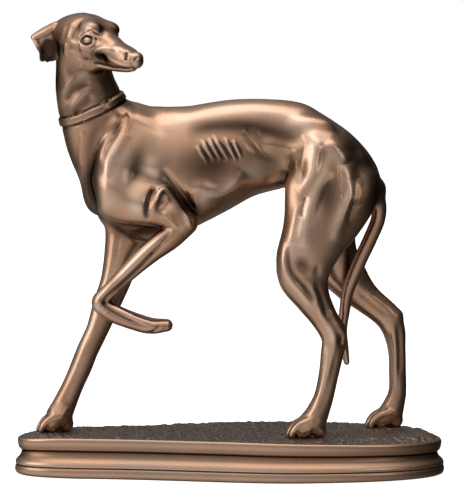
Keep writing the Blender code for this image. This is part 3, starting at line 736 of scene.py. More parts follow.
@dataclass
class Collar:
    """The flat band around the neck.

    Args:
        centre: the band's middle, in mm.
        facing: the direction of the neck through it.
        half_width: half the band's width.
        rise: how far it stands over the neck.
        reach: how far from the middle it is worked out.
        fillet: the radius of the fillet at its edges.
        groove: the depth of the groove along each edge, its distance from the edge and its width.
    """

    centre: Place = (-74.5, -4.0, 177.5)
    facing: Place = (-9.5, -5.0, 22.0)
    half_width: float = 2.1
    rise: float = 0.9
    reach: float = 32.0
    fillet: float = 0.6
    groove: tuple[float, float, float] = (0.3, 0.9, 0.9)

    def wrapped(self, points: Array, neck: Array) -> Array:
        """The neck's field with the band on it: max(neck - rise, |run| - half width), joined."""
        facing = np.array(self.facing) / np.linalg.norm(self.facing)
        offset = points - np.array(self.centre)
        run = offset @ facing
        close = np.linalg.norm(offset, axis=1) < self.reach
        band = np.maximum(neck - self.rise, np.abs(run) - self.half_width)
        depth, away, width = self.groove
        groove = depth * np.exp(-(((np.abs(run) - self.half_width - away) / width) ** 2))
        return np.where(close, blended(neck, band, self.fillet) + groove, neck)


class PatinaAndPaintedLightMarks:
    """Where the patina was left dark and where it was rubbed bright, besides hollows and crests; the dark
    marks are also painted shade and painted dark reflection, the bright marks also painted highlight.
    """

    STRENGTH = 1.5

    @staticmethod
    def dark() -> list[Ridge | Swell]:
        """Dark marks, partly dark patina and partly painted shade and painted dark reflection: between the
        shoulder's muscles, under the back, on the rump and in the ears.
        """
        near = Flank.NEAR
        # dark patina in the grooves and ears, together with painted shade and painted dark reflection under
        # the back, on the flank, thigh, rump and neck
        return [
            Swell((-49.6, 146), (4, 9), 0.55, -12, near), Swell((-70.6, 139), (2.8, 13), 0.4, 0, near),
            Ridge(((-38, 142), (-31.5, 133.5), (-22, 120)), 3, 0.6, near),
            Swell((-54, 111.5), (12, 3.5), 0.45, 0, near), Swell((-9, 148), (15, 8), 0.5, 8),
            Ridge(((-24, 164), (-9.4, 168), (10, 168), (25, 164), (38, 160.5)), 4.5, 0.55),
            Swell((52, 131), (5.5, 13), 0.45, -10), Swell((34.7, 147.3), (3.2, 6), 0.5, 0),
            Ridge(((60, 164), (68, 153.5), (74.5, 142), (77.5, 130), (73, 118)), 6.2, 0.46),
            Swell((-66.5, 190.5), (4.5, 11), 0.3, 15), Swell((-58.5, 181), (3, 4), 0.45, 30),
            Swell((-92.5, 195), (2.5, 12), 0.5, 0), Swell((-85, 194), (5, 6), 0.35, 0, near),
            Swell((-84, 176), (6, 4), 0.35, 20, near), Swell((60.5, 104), (7, 12), 0.35, 0, Flank.FAR),
            Swell((42.6, -11), (5.2, 2.5), 1, -12, space=Space.HEAD),
            Ridge(((58.7, -6.2), (60.2, -8.5), (60.5, -11)), 0.9, 0.6, space=Space.HEAD),
            Ridge(((28.5, 6), (27.2, 1.3), (25.5, -4.5)), 1.5, 0.5, space=Space.HEAD),
            Swell((39.5, 4.6), (3, 2), 0.5, -30, space=Space.HEAD),
            Swell((14, -9), (2.5, 7), 0.5, 0, space=Space.HEAD),
            *(Swell((f, side * w, u), (5.5, 5, 4.5), 1.2, 12, space=Space.HEAD)
              for side in (-1, 1) for f, w, u in ((7.8, 13, -9.5), (7.5, 12.8, -14))),
            Ridge(Forelegs.FOREARM_GROOVE[:-1], 1.1, 0.45, near),
            Swell((-82, 190), (12, 15), 0.28, 0, near),
            Ridge(((-91, 178), (-88, 165), (-85, 152), (-81, 140)), 3.2, 0.35, near),
            Ridge(HindLegs.SHANK_GROOVE, 1.6, 0.5, near), Swell((38.7, 95.5), (3.8, 4.6), 0.45, 30, near),
            Ridge(Torso.THROAT_GROOVE, 2, 0.35, near), Ridge(Torso.LOWER_GROOVE, 1.8, 0.35, near),
            Ridge(((-69.5, 172), (-74, 160), (-75.5, 148), (-75.5, 136), (-73, 124)), 3.2, 0.4, near),
            Ridge(((64, 134), (66.8, 127), (62, 115), (56, 100)), 3, 0.3, near),
        ]

    @staticmethod
    def bright() -> list[Ridge | Swell]:
        """Bright marks, partly rubbed patina and partly painted highlight: the shoulder's muscles, the back,
        the thighs, the forearm and the muzzle.
        """
        near = Flank.NEAR
        # rubbed patina together with painted highlight: the top light's reflection along the back and the
        # broad light on the shoulder and thighs
        return [
            Swell((-57, 138), (10, 15), 0.2, 0, near), Swell((-62.5, 149), (5, 11), 0.65, -8, near),
            Swell((-55, 148.5), (4, 6), 0.4, -8, near), Swell((-66, 130), (5.5, 6.5), 0.4, 0, near),
            Swell((-41.4, 145.9), (4, 6), 0.8, 30, near), Swell((-48.6, 126.6), (5, 6.5), 0.75, 0, near),
            Swell((38, 112), (5.5, 15), 0.5, -10, near), Swell((56.9, 152), (6, 3), 0.75, -45, near),
            Swell((43.6, 154.4), (3.2, 5.5), 0.65, -15, near),
            Swell((38, 168.5), (12, 5.5), 0.5, -32, near), Swell((33.2, 103), (2.2, 8), 0.6, 0, near),
            Ridge(((62.5, 147), (64.2, 137), (63, 128)), 2, 0.65, near),
            Ridge(((-21.3, 132.5), (-8, 133), (5.3, 138.5), (13, 146), (17, 152)), 4.2, 0.55),
            Ridge(((39, 160), (43.5, 161.3), (46.2, 156.4), (44.8, 147.1), (40.5, 138), (36.1, 133.2)),
                  2.6, 0.5),
            Ridge(HindLegs.THIGH_FRONT, 2.6, 0.6),
            Ridge(((61.8, 143), (64.6, 137), (62.4, 127.2), (58.2, 116.6), (51.7, 103.8)), 2.6, 0.5),
            Ridge(((29, 107), (28.4, 95), (31.2, 87), (38, 79), (46, 69)), 1.7, 0.5, near),
            Ridge(((42.2, 85.3), (45.5, 78.6), (48.3, 69.7), (52.3, 61.2), (55, 53), (53, 40), (50, 27),
                  (45, 14)), 1.6, 0.5, near),
            Ridge(((-62.5, 97), (-67, 82), (-73.5, 66), (-80.5, 45), (-88, 22)), 2, 0.5),
            Ridge(((-66.4, 74), (-60, 69.8), (-50, 65), (-40, 62)), 1.8, 0.45, near),
            Ridge(((-39.4, 128.3), (-36.6, 134), (-33.2, 134.4), (-28.4, 128.1), (-20.4, 115.6)),
                  1.6, 0.6, near),
            Ridge(Torso.THROAT_TOP, 2, 0.4, near), Ridge(Torso.THROAT_FOLD, 1.6, 0.4, near),
            *(Ridge((top, end), 1, 0.55, near, fade=0.5)
              for top, end in zip(Torso.rib_tops, Torso.rib_ends)),
            Ridge(((-42, 171), (-20, 173.5), (0, 177), (20, 176.5), (36, 171), (47, 164.5)), 4.6, 0.45),
            Ridge(((-36, 112.5), (-49, 99.5), (-62, 85)), 2.6, 0.6, near),
            Ridge(((42, -5.5), (50, -5), (57, -6.2)), 1.6, 0.6, space=Space.HEAD),
            Ridge(((46, -13.2), (54, -13.6), (62, -12.6)), 1.3, 0.5, space=Space.HEAD),
            Swell((34, 4), (4, 2.2), 0.5, 0, space=Space.HEAD),
        ]

    @staticmethod
    def cover(marks: list[Ridge | Swell], points: Array) -> Array:
        """How strongly marks cover each point: 1 - the product of the shares each leaves bare."""
        head_points = HEAD.from_body(points)
        bare = np.ones(len(points))
        for mark in marks:
            level = mark.relief(head_points if mark.space is Space.HEAD else points)
            bare *= 1.0 - np.clip(PatinaAndPaintedLightMarks.STRENGTH * level, 0.0, 1.0)
        return 1.0 - bare


class Whippet:
    """The whole dog: its parts joined in one field, and the skin drawn from that field.

    Args:
        spacing: the grid's step, in mm.
    """

    # how far from each form its blend, its cut and its carving are worked out, in mm
    REACH = 9.0
    CUT_REACH = 3.0
    CARVE_REACH = 4.0
    FAR_OUTSIDE = 25.0
    LEAST_SLOPE = 0.15
    LONGEST_MOVE = 0.8
    # the grid's margin, what of the head it has to hold, and its steps to a coarse one
    GRID_MARGIN = 6
    BEHIND_OCCIPUT = (22.0, 20.0, 20.0)
    SKULL_TOP = (0.0, 0.0, 232.0)
    NOSE_Y = -54.0
    COARSE = 4
    BATCH = 200000
    HEAD_BOX = ((-4, -18, -22), (72, 18, 16))
    SHELTER_REACHES = (1.5, 3.0, 6.0)
    BEND_GAIN = 1.6

    def __init__(self, spacing: float = 1.45) -> None:
        """Gather the forms of every part."""
        torso, forelegs, hind_legs, head = Torso(), Forelegs(), HindLegs(), Head()
        self.spacing = spacing
        self.collar = Collar()
        self.neck_forms = torso.forms()
        self.limb_forms = forelegs.forms() + hind_legs.forms() + Tail().forms()
        self.head_forms = head.forms()
        self.cutters = head.cuts()
        self.carving = torso.carving() + torso.neck_carving() + forelegs.carving() + hind_legs.carving()
        self.head_carving = head.carving()

    def joined(self, value: Array, points: Array, forms: Iterable[Limb]) -> Array:
        """The field with more forms blended in, each only near its own box."""
        for form in forms:
            close = in_box(points, form.low - self.REACH, form.high + self.REACH)
            if close.any():
                value[close] = blended(value[close], form.distance(points[close]), form.blend)
        return value

    def field(self, points: Array) -> Array:
        """The field's value at each point: below zero inside, in mm."""
        head_points = HEAD.from_body(points)
        value = self.joined(np.full(len(points), self.FAR_OUTSIDE), points, self.neck_forms)
        value = self.collar.wrapped(points, value)
        value = self.joined(value, points, self.limb_forms)
        value = self.joined(value, head_points, self.head_forms)
        for cutter in self.cutters:
            close = in_box(head_points, cutter.low - self.CUT_REACH, cutter.high + self.CUT_REACH)
            if close.any():
                cut = cutter.distance(head_points[close])
                value[close] = -blended(-value[close], cut, cutter.blend)
        near = np.abs(value) < self.CARVE_REACH
        lift = carved_lift(self.carving, points[near])
        in_head = in_box(head_points[near], *self.HEAD_BOX)
        lift[in_head] += carved_lift(self.head_carving, head_points[near][in_head])
        value[near] -= lift
        return value

    def slope(self, points: Array, here: Array, step: float = 0.1) -> Array:
        """The field's gradient by differences from its value here."""
        return np.stack([(self.field(points + nudge) - here) / step for nudge in np.eye(3) * step], axis=1)

    def settled(self, points: Array, rounds: int = 2) -> Array:
        """Points pulled onto the field's zero surface along its gradient."""
        for _ in range(rounds):
            here = self.field(points)
            slope = self.slope(points, here)
            size = np.maximum(np.sum(slope**2, axis=1), self.LEAST_SLOPE)
            move = slope * (here / size)[:, None]
            length = np.linalg.norm(move, axis=1)[:, None]
            points = points - move * np.minimum(1.0, self.LONGEST_MOVE / np.maximum(length, 1e-9))
        return points

    def sampled(self) -> tuple[Array, Array]:
        """The field on a grid, worked out in full only near the surface.

        Returns:
            The values and the grid's first corner.
        """
        every, step = self.COARSE, self.spacing
        forms = self.neck_forms + self.limb_forms
        low = np.min([form.low for form in forms] + [np.subtract(HEAD.occiput, self.BEHIND_OCCIPUT)], axis=0)
        high = np.max([form.high for form in forms] + [np.array(self.SKULL_TOP)], axis=0)
        low, high = low - self.GRID_MARGIN, high + self.GRID_MARGIN
        low[1] = min(low[1], self.NOSE_Y)
        counts = np.ceil((high - low) / (step * every)).astype(int) + 1
        axes = [low[i] + np.arange(counts[i]) * step * every for i in range(3)]
        coarse_points = np.stack(np.meshgrid(*axes, indexing="ij"), axis=-1).reshape(-1, 3)
        values = self.field(coarse_points).reshape(counts)
        flagged = np.abs(values) < 1.5 * every * step
        near = np.zeros(counts - 1, dtype=bool)
        for window in shifted_windows(near.shape):
            near |= flagged[window]
        for axis in range(3):
            values = np.repeat(values, every, axis=axis)
            near = np.repeat(near, every, axis=axis)
        fine_counts = (counts - 1) * every + 1
        values = values[: fine_counts[0], : fine_counts[1], : fine_counts[2]]
        wide = np.zeros(fine_counts, dtype=bool)
        for window in shifted_windows(near.shape):
            wide[window] |= near
        values[wide] = in_batches(lambda spots: self.field(low + spots * step), np.argwhere(wide), self.BATCH)
        return values, low

    def skin(self) -> tuple[Array, list]:
        """Vertices and faces of the skin, finer where it is carved and finest on the face and ribs."""
        values, low = self.sampled()
        points, quads = surface_net(values, low, self.spacing)
        points = self.settled(points)
        points = self.settled(relaxed(points, quads), 1)
        points, faces = refined(points, quads.tolist(), FINE_REGION)
        points = self.settled(points, 2)
        points, faces = refined(points, faces, FINEST_REGION)
        return self.settled(points, 1), faces

    def build(self) -> bpy.types.Object:
        """The skin as an object, with its hollows, crests and marks of patina, painted shade and painted
        highlight as attributes.
        """
        points, faces = self.skin()
        piece = mesh_object("whippet_skin", (points + (0.0, 0.0, TURF_HEIGHT)) * MM, faces)
        mesh = piece.data
        normals = np.empty(len(mesh.vertices) * 3)
        mesh.vertex_normals.foreach_get("vector", normals)
        normals = normals.reshape(-1, 3)
        edges = np.empty(len(mesh.edges) * 2, dtype=np.int64)
        mesh.edges.foreach_get("vertices", edges)
        bend = curvature(points, normals, edges.reshape(-1, 2)) * self.BEND_GAIN
        shelter = sum(np.clip(1.0 - self.field(points + normals * reach) / reach, 0.0, 1.0)
                      for reach in self.SHELTER_REACHES) / len(self.SHELTER_REACHES)
        # dark and bright: patina marks together with painted shade and painted highlight
        for name, values in (("hollow", bend), ("crest", -bend), ("shelter", shelter),
                             ("dark", PatinaAndPaintedLightMarks.cover(PatinaAndPaintedLightMarks.dark(), points)),
                             ("bright", PatinaAndPaintedLightMarks.cover(PatinaAndPaintedLightMarks.bright(), points))):
            put_attribute(mesh, name, np.clip(values, 0.0, 1.0))
        return piece


def carved_lift(carving: Iterable[Ridge | Swell], points: Array) -> Array:
    """How far all the carving together lifts the surface at each point."""
    lift = np.zeros(len(points))
    for carved in carving:
        lift += carved.relief(points)
    return lift


def shifted_windows(size: Sequence[int]) -> Iterable[tuple[slice, ...]]:
    """The eight windows of a size that start 0 or 1 along each axis."""
    for shift in itertools.product((0, 1), repeat=3):
        yield tuple(slice(start, start + count) for start, count in zip(shift, size))


def surface_net(values: Array, low: Array, spacing: float) -> tuple[Array, Array]:
    """The zero surface of a sampled field, one point per crossed cell and one quad per crossed edge.

    A cell's point is the mean of the crossings on its edges, and a crossing lies at the share
    a / (a - b) of its edge.

    Args:
        values: the field on the grid.
        low: the grid's first corner.
        spacing: the grid's step.

    Returns:
        The points and the quads, wound to face outwards.
    """
    cells = np.array(values.shape) - 1
    total = int(cells.prod())
    sums, hits = np.zeros((total, 3)), np.zeros(total)
    quads = []
    for axis in range(3):
        lower, upper = [slice(None)] * 3, [slice(None)] * 3
        lower[axis], upper[axis] = slice(0, -1), slice(1, None)
        first, second = values[tuple(lower)], values[tuple(upper)]
        spots = np.argwhere((first < 0) != (second < 0))
        a, b = first[tuple(spots.T)], second[tuple(spots.T)]
        crossing = spots.astype(float)
        crossing[:, axis] += a / (a - b)
        ring = []
        for back_u, back_v in ((1, 1), (0, 1), (0, 0), (1, 0)):
            cell = spots.copy()
            cell[:, (axis + 1) % 3] -= back_u
            cell[:, (axis + 2) % 3] -= back_v
            flat = np.ravel_multi_index(cell.T, cells)
            hits += np.bincount(flat, minlength=total)
            for column in range(3):
                sums[:, column] += np.bincount(flat, crossing[:, column], minlength=total)
            ring.append(flat)
        ring = np.stack(ring, axis=1)
        ring[a >= 0] = ring[a >= 0][:, ::-1]
        quads.append(ring)
    quads = np.vstack(quads)
    used = np.flatnonzero(hits)
    order = np.zeros(total, dtype=np.int64)
    order[used] = np.arange(len(used))
    return low + sums[used] / hits[used][:, None] * spacing, order[quads]


def relaxed(points: Array, quads: Array) -> Array:
    """Each point moved half way to the mean of its neighbours along the quads' sides."""
    first = quads.ravel()
    second = np.roll(quads, -1, axis=1).ravel()
    count = np.bincount(first, minlength=len(points)) + np.bincount(second, minlength=len(points))
    mean = np.empty_like(points)
    for column in range(3):
        mean[:, column] = np.bincount(first, points[second, column], minlength=len(points))
        mean[:, column] += np.bincount(second, points[first, column], minlength=len(points))
    return 0.5 * points + 0.5 * mean / count[:, None]


def refined(points: Array, faces: list, region: Region) -> tuple[Array, list]:
    """The mesh with every side inside a region halved, and all faces cut to triangles or quads."""
    bm = bmesh.new()
    made = [bm.verts.new(point) for point in points]
    for face in faces:
        bm.faces.new([made[i] for i in face])
    picked = region.holds(points)
    bm.verts.index_update()
    edges = [edge for edge in bm.edges if all(picked[vert.index] for vert in edge.verts)]
    bmesh.ops.subdivide_edges(bm, edges=edges, cuts=1, use_grid_fill=True)
    bmesh.ops.triangulate(bm, faces=[f for f in bm.faces if len(f.verts) > 4])
    bm.verts.index_update()
    new_points = np.array([vert.co[:] for vert in bm.verts])
    faces = [tuple(vert.index for vert in face.verts) for face in bm.faces]
    bm.free()
    return new_points, faces


def curvature(points: Array, normals: Array, edges: Array, rounds: int = 4) -> Array:
    """How far the surface bends at each point, in 1/mm: above 0 in hollows, below 0 on crests.

    It is twice the mean over the neighbours of (offset . normal) / |offset|^2, then moved half
    way to the neighbours' mean in each round.
    """
    size = len(points)
    first, second = edges.T
    offset = points[second] - points[first]
    squared = np.maximum(np.sum(offset**2, axis=1), 1e-9)
    count = np.bincount(edges.ravel(), minlength=size)
    bend = np.bincount(first, np.einsum("ij,ij->i", offset, normals[first]) / squared, size)
    bend += np.bincount(second, np.einsum("ij,ij->i", -offset, normals[second]) / squared, size)
    bend = 2.0 * bend / count
    for _ in range(rounds):
        near = np.bincount(first, bend[second], size) + np.bincount(second, bend[first], size)
        bend = 0.5 * bend + 0.5 * near / count
    return bend


def mesh_object(name: str, points: Array, faces: Iterable) -> bpy.types.Object:
    """A smooth-shaded mesh object at the origin."""
    mesh = bpy.data.meshes.new(name)
    rows = faces.tolist() if isinstance(faces, np.ndarray) else faces
    mesh.from_pydata(points.tolist(), [], rows)
    mesh.polygons.foreach_set("use_smooth", np.ones(len(mesh.polygons), dtype=bool))
    mesh.update()
    return placed(name, mesh)


def placed(name: str, data: bpy.types.ID) -> bpy.types.Object:
    """A new object in the scene, at the origin."""
    piece = bpy.data.objects.new(name, data)
    bpy.context.collection.objects.link(piece)
    return piece


def put_attribute(mesh: bpy.types.Mesh, name: str, values: Array) -> None:
    """A float for each vertex, for the patina to read."""
    mesh.attributes.new(name, "FLOAT", "POINT").data.foreach_set("value", values.astype(np.float32))


def grain(points: Array, cell: float, seed: int) -> Array:
    """Smooth random heights from -1 to 1 over x, y.

    A lattice of random numbers, one per cell, is mixed bilinearly with the weights t^2 (3 - 2 t).

    Args:
        points: places, in mm.
        cell: the lattice's step, in mm.
        seed: the random draw's seed.

    Returns:
        One height per place.
    """
    size, middle = 512, 200.0
    lattice = np.random.default_rng(seed).uniform(-1.0, 1.0, (size, size))
    scaled = points[:, :2] / cell + middle
    base = np.floor(scaled).astype(int)
    t = scaled - base
    t = t * t * (3 - 2 * t)
    i, j = base[:, 0] % (size - 1), base[:, 1] % (size - 1)
    low = lattice[i, j] * (1 - t[:, 0]) + lattice[i + 1, j] * t[:, 0]
    high = lattice[i, j + 1] * (1 - t[:, 0]) + lattice[i + 1, j + 1] * t[:, 0]
    return low * (1 - t[:, 1]) + high * t[:, 1]


@dataclass
class Plinth:
    """The oval moulded plinth: one profile carried around the plan, with the turf inside its rim.

    All sizes in mm. The plan is given at the rim.

    Args:
        head_end: x of the plan's end under the raised paw.
        tail_end: x of the other end.
        narrow: half width at the head end.
        wide_near: widest half width on the viewer's side.
        wide_far: widest half width on the other side.
        rim_fall_head: how far the rim falls at the head end.
        rim_fall_tail: how far it falls at the tail end.
        cove: how deep the moulding's hollow is.
        foot: how far its foot stands out past the rim.
        bank: how wide the turf's bank is inside the rim.
        widening: where the plan starts to widen, as a share of the half length, and over how much.
        lip: where the grain starts inside the rim, and how wide it fades in.
        clods: the turf's grain: height and cell in mm, and the seed.
        sink: how far the grain lies lower.
        far_rise: how far the turf rises on the far side, and over what width.
        side_count: quads along each long side.
        end_count: quads across each end.
        dark_patina_and_shade_bands: dark patina and painted shade on the moulding, deepest in its cove, as
            share of the height, width and strength.
        rubbed_and_highlight_bands: rubbed patina and painted highlight on its rounds, the same way.
    """

    head_end: float = -116.5
    tail_end: float = 116.0
    narrow: float = 20.5
    wide_near: float = 32.0
    wide_far: float = 38.5
    rim_fall_head: float = 2.0
    rim_fall_tail: float = 3.0
    cove: float = 2.0
    foot: float = 1.6
    bank: float = 7.5
    widening: Range = (-0.63, 0.96)
    lip: Range = (0.5, 1.2)
    clods: tuple[tuple[float, float, int], ...] = ((0.42, 3.7, 3), (0.42, 1.7, 4), (0.34, 0.95, 5))
    sink: float = 0.1
    far_rise: Range = (0.45, 20.0)
    side_count: int = 340
    end_count: int = 92
    dark_patina_and_shade_bands: tuple[tuple[float, float, float], ...] = (
        (0.645, 0.028, 0.9), (0.262, 0.018, 0.85), (0.54, 0.09, 0.5), (0.0, 0.05, 0.5), (0.76, 0.06, 0.25),
    )
    rubbed_and_highlight_bands: tuple[tuple[float, float, float], ...] = (
        (0.86, 0.05, 0.25), (0.33, 0.04, 0.75), (0.15, 0.06, 0.35), (0.96, 0.02, 0.6),
    )

    BATCH = 8000
    PLAN_SAMPLES = 3000
    CORNER_POWER = 1.3

    def half_width(self, share: Array, near: bool) -> Array:
        """Half width at a share of the half length.

        body (1 - |share|^p)^(1/2.2), where body goes from narrow to wide as t^2 (3 - 2 t) and p
        is larger where the end is squarer.
        """
        wide, tail_power = (self.wide_near, 2.8) if near else (self.wide_far, 3.6)
        t = np.clip((share - self.widening[0]) / self.widening[1], 0.0, 1.0)
        body = self.narrow + (wide - self.narrow) * t * t * (3 - 2 * t)
        power = np.where(share < 0, 5.0, tail_power)
        return body * np.maximum(1.0 - np.abs(share) ** power, 0.0) ** (1 / 2.2)

    def outline(self) -> Array:
        """The rim's plan as equally spaced points, anticlockwise from the near head corner."""
        share = np.sin(np.linspace(-math.pi / 2, math.pi / 2, self.PLAN_SAMPLES))
        share = np.sign(share) * (1 - (1 - np.abs(share)) ** self.CORNER_POWER)
        middle, half = (self.head_end + self.tail_end) / 2, (self.tail_end - self.head_end) / 2
        near = np.stack([middle + half * share, -self.half_width(share, True)], axis=1)
        far = np.stack([middle + half * share, self.half_width(share, False)], axis=1)[::-1]
        ring = np.vstack([near[:-1], far[:-1]])
        closed = np.vstack([ring, ring[:1]])
        run = np.concatenate([[0.0], np.cumsum(np.linalg.norm(np.diff(closed, axis=0), axis=1))])
        count = 2 * (self.side_count + self.end_count)
        corner = run[-1] * self.end_count / (2 * count)
        wanted = (corner + np.arange(count) * run[-1] / count) % run[-1]
        return np.stack([np.interp(wanted, run, closed[:, i]) for i in range(2)], axis=1)

    def rim_height(self, x: Array) -> Array:
        """The rim's height over the underside, a little lower towards both ends."""
        head = np.maximum((self.head_end * 0.7 - x) / (self.head_end * -0.3), 0.0)
        tail = np.maximum(x / self.tail_end, 0.0)
        return TURF_HEIGHT - self.rim_fall_head * head**2 - self.rim_fall_tail * tail**1.2

    def moulding(self) -> Array:
        """The moulding's profile from the foot up: offset outwards in mm, share of the rim's height."""
        f, c = self.foot, self.cove
        key = np.array([
            (f - 2.2, 0.0), (f - 0.8, 0.035), (f - 0.1, 0.09), (f, 0.15), (f - 0.15, 0.21), (f - 0.5, 0.245),
            (f - 1.0, 0.262), (f - 0.45, 0.285), (f - 0.25, 0.32), (f - 0.45, 0.365), (f - 1.0, 0.41),
            (-0.35 * c, 0.47), (-0.75 * c, 0.53), (-0.98 * c, 0.59), (-c, 0.62), (-c - 0.3, 0.645),
            (-0.85 * c, 0.668), (-0.5 * c, 0.70), (-0.25 * c, 0.75), (-0.08 * c, 0.82), (0.0, 0.89),
            (0.0, 0.945), (-0.35, 0.985), (-1.0, 1.0),
        ])
        return curve_through(np.hstack([key, np.zeros((len(key), 1))]), 0.9)[:, :2]

    def turf(self, ring: Array) -> Array:
        """The turf's grid, a Coons patch between the outline's four runs.

        P = (1 - v) near(u) + v far(u) + (1 - u) head(v) + u tail(v) - the bilinear mix of corners.
        """
        n, m = self.side_count, self.end_count
        near, tail = ring[: n + 1], ring[n : n + m + 1]
        far, head = ring[n + m : 2 * n + m + 1][::-1], np.vstack([ring[2 * n + m :], ring[:1]])[::-1]
        u, v = np.linspace(0, 1, n + 1)[:, None, None], np.linspace(0, 1, m + 1)[None, :, None]
        corners = ((1 - u) * (1 - v) * near[0] + u * (1 - v) * near[-1] + (1 - u) * v * far[0]
                   + u * v * far[-1])
        return (1 - v) * near[:, None] + v * far[:, None] + (1 - u) * head[None] + u * tail[None] - corners

    def turf_height(self, flat: Array, ring: Array) -> Array:
        """The turf's height: a bank up from the rim, with coarse and fine grain over it."""
        def gap(batch: Array) -> Array:
            """How far each point lies from the rim."""
            squared = np.sum(batch**2, 1)[:, None] + np.sum(ring**2, 1) - 2 * batch @ ring.T
            return np.sqrt(np.maximum(squared.min(axis=1), 0.0))

        away = in_batches(gap, flat, self.BATCH)
        rise = np.clip(away / self.bank, 0.0, 1.0)
        rim = self.rim_height(flat[:, 0])
        base = rim + (TURF_HEIGHT - rim) * rise * rise * (3 - 2 * rise)
        rough = sum(height * grain(flat, cell, seed) for height, cell, seed in self.clods)
        lip = np.clip((away - self.lip[0]) / self.lip[1], 0.0, 1.0)
        climb, width = self.far_rise
        return base + lip * (rough - self.sink + climb * np.clip(flat[:, 1] / width, 0.0, 1.0))

    def build(self) -> bpy.types.Object:
        """The plinth as one closed mesh; its second material is the turf's."""
        ring = self.outline()
        count = len(ring)
        along = np.roll(ring, -1, axis=0) - np.roll(ring, 1, axis=0)
        outward = np.stack([along[:, 1], -along[:, 0]], axis=1)
        outward /= np.linalg.norm(outward, axis=1)[:, None]
        profile = self.moulding()
        rim = self.rim_height(ring[:, 0])
        wall = np.dstack([ring[None] + outward[None] * profile[:, 0][:, None, None],
                          profile[:, 1][:, None] * rim[None]]).reshape(-1, 3)
        rows = len(profile)
        inner = ring + outward * profile[-1, 0]
        n, m = self.side_count, self.end_count
        flat = self.turf(inner).reshape(-1, 2)
        heights = self.turf_height(flat, inner)
        order = np.arange((n + 1) * (m + 1)).reshape(n + 1, m + 1) + len(wall)
        edge = np.concatenate([order[:-1, 0], order[-1, :-1], order[:0:-1, -1], order[0, :0:-1]])
        last_row = (rows - 1) * count + np.arange(count)
        swap = np.arange(len(wall) + len(flat))
        swap[edge] = last_row
        i, j = np.meshgrid(np.arange(rows - 1), np.arange(count), indexing="ij")
        nxt = (j + 1) % count
        wall_quads = quads_of(i * count + j, i * count + nxt, (i + 1) * count + nxt, (i + 1) * count + j)
        turf_quads = quads_of(order[:-1, :-1], order[1:, :-1], order[1:, 1:], order[:-1, 1:])
        points = np.vstack([wall, np.column_stack([flat, heights])])
        faces = swap[np.vstack([wall_quads, turf_quads])]
        used = np.unique(faces)
        fresh = np.zeros(len(points), dtype=np.int64)
        fresh[used] = np.arange(len(used))
        under = [tuple(range(count - 1, -1, -1))]
        piece = mesh_object("plinth_cast", points[used] * MM, fresh[faces].tolist() + under)
        kinds = np.zeros(len(piece.data.polygons), dtype=np.int32)
        kinds[len(wall_quads) : len(wall_quads) + len(turf_quads)] = 1
        piece.data.polygons.foreach_set("material_index", kinds)
        share = profile[:, 1]
        # the moulding's dark and bright bands: patina, with painted shade in the cove and painted highlight
        # on the rounds
        for name, bands in (("dark", self.dark_patina_and_shade_bands), ("bright", self.rubbed_and_highlight_bands)):
            level = sum(amount * np.exp(-(((share - spot) / width) ** 2)) for spot, width, amount in bands)
            level = np.repeat(np.clip(level, 0.0, 1.0), count)
            put_attribute(piece.data, name, np.concatenate([level, np.zeros(len(flat))])[used])
        return piece


def quads_of(*corners: Array) -> Array:
    """Rows of four corners' numbers, from one grid of them for each corner."""
    return np.stack(corners, axis=-1).reshape(-1, 4)


class Nodes:
    """Short calls for filling one node tree.

    Args:
        owner: the material or the world that the tree belongs to.
    """

    def __init__(self, owner: bpy.types.Material | bpy.types.World) -> None:
        """Start with an empty tree."""
        owner.use_nodes = True
        self.tree = owner.node_tree
        self.tree.nodes.clear()

    def add(self, kind: str, inputs: Inputs | None = None, **settings: str) -> bpy.types.Node:
        """A new node.

        Args:
            kind: its type, without the prefix ShaderNode.
            inputs: what goes into its sockets, by their name or place.
            settings: its own properties.

        Returns:
            The node, with its inputs filled.
        """
        node = self.tree.nodes.new("ShaderNode" + kind)
        for name, value in settings.items():
            setattr(node, name, value)
        self.fill(node, inputs or {})
        return node

    def fill(self, node: bpy.types.Node, inputs: Inputs) -> None:
        """Link the inputs that are sockets and set the others; a triple is a colour."""
        for key, value in inputs.items():
            if isinstance(value, bpy.types.NodeSocket):
                self.tree.links.new(value, node.inputs[key])
            else:
                node.inputs[key].default_value = (*value, 1.0) if isinstance(value, tuple) else value


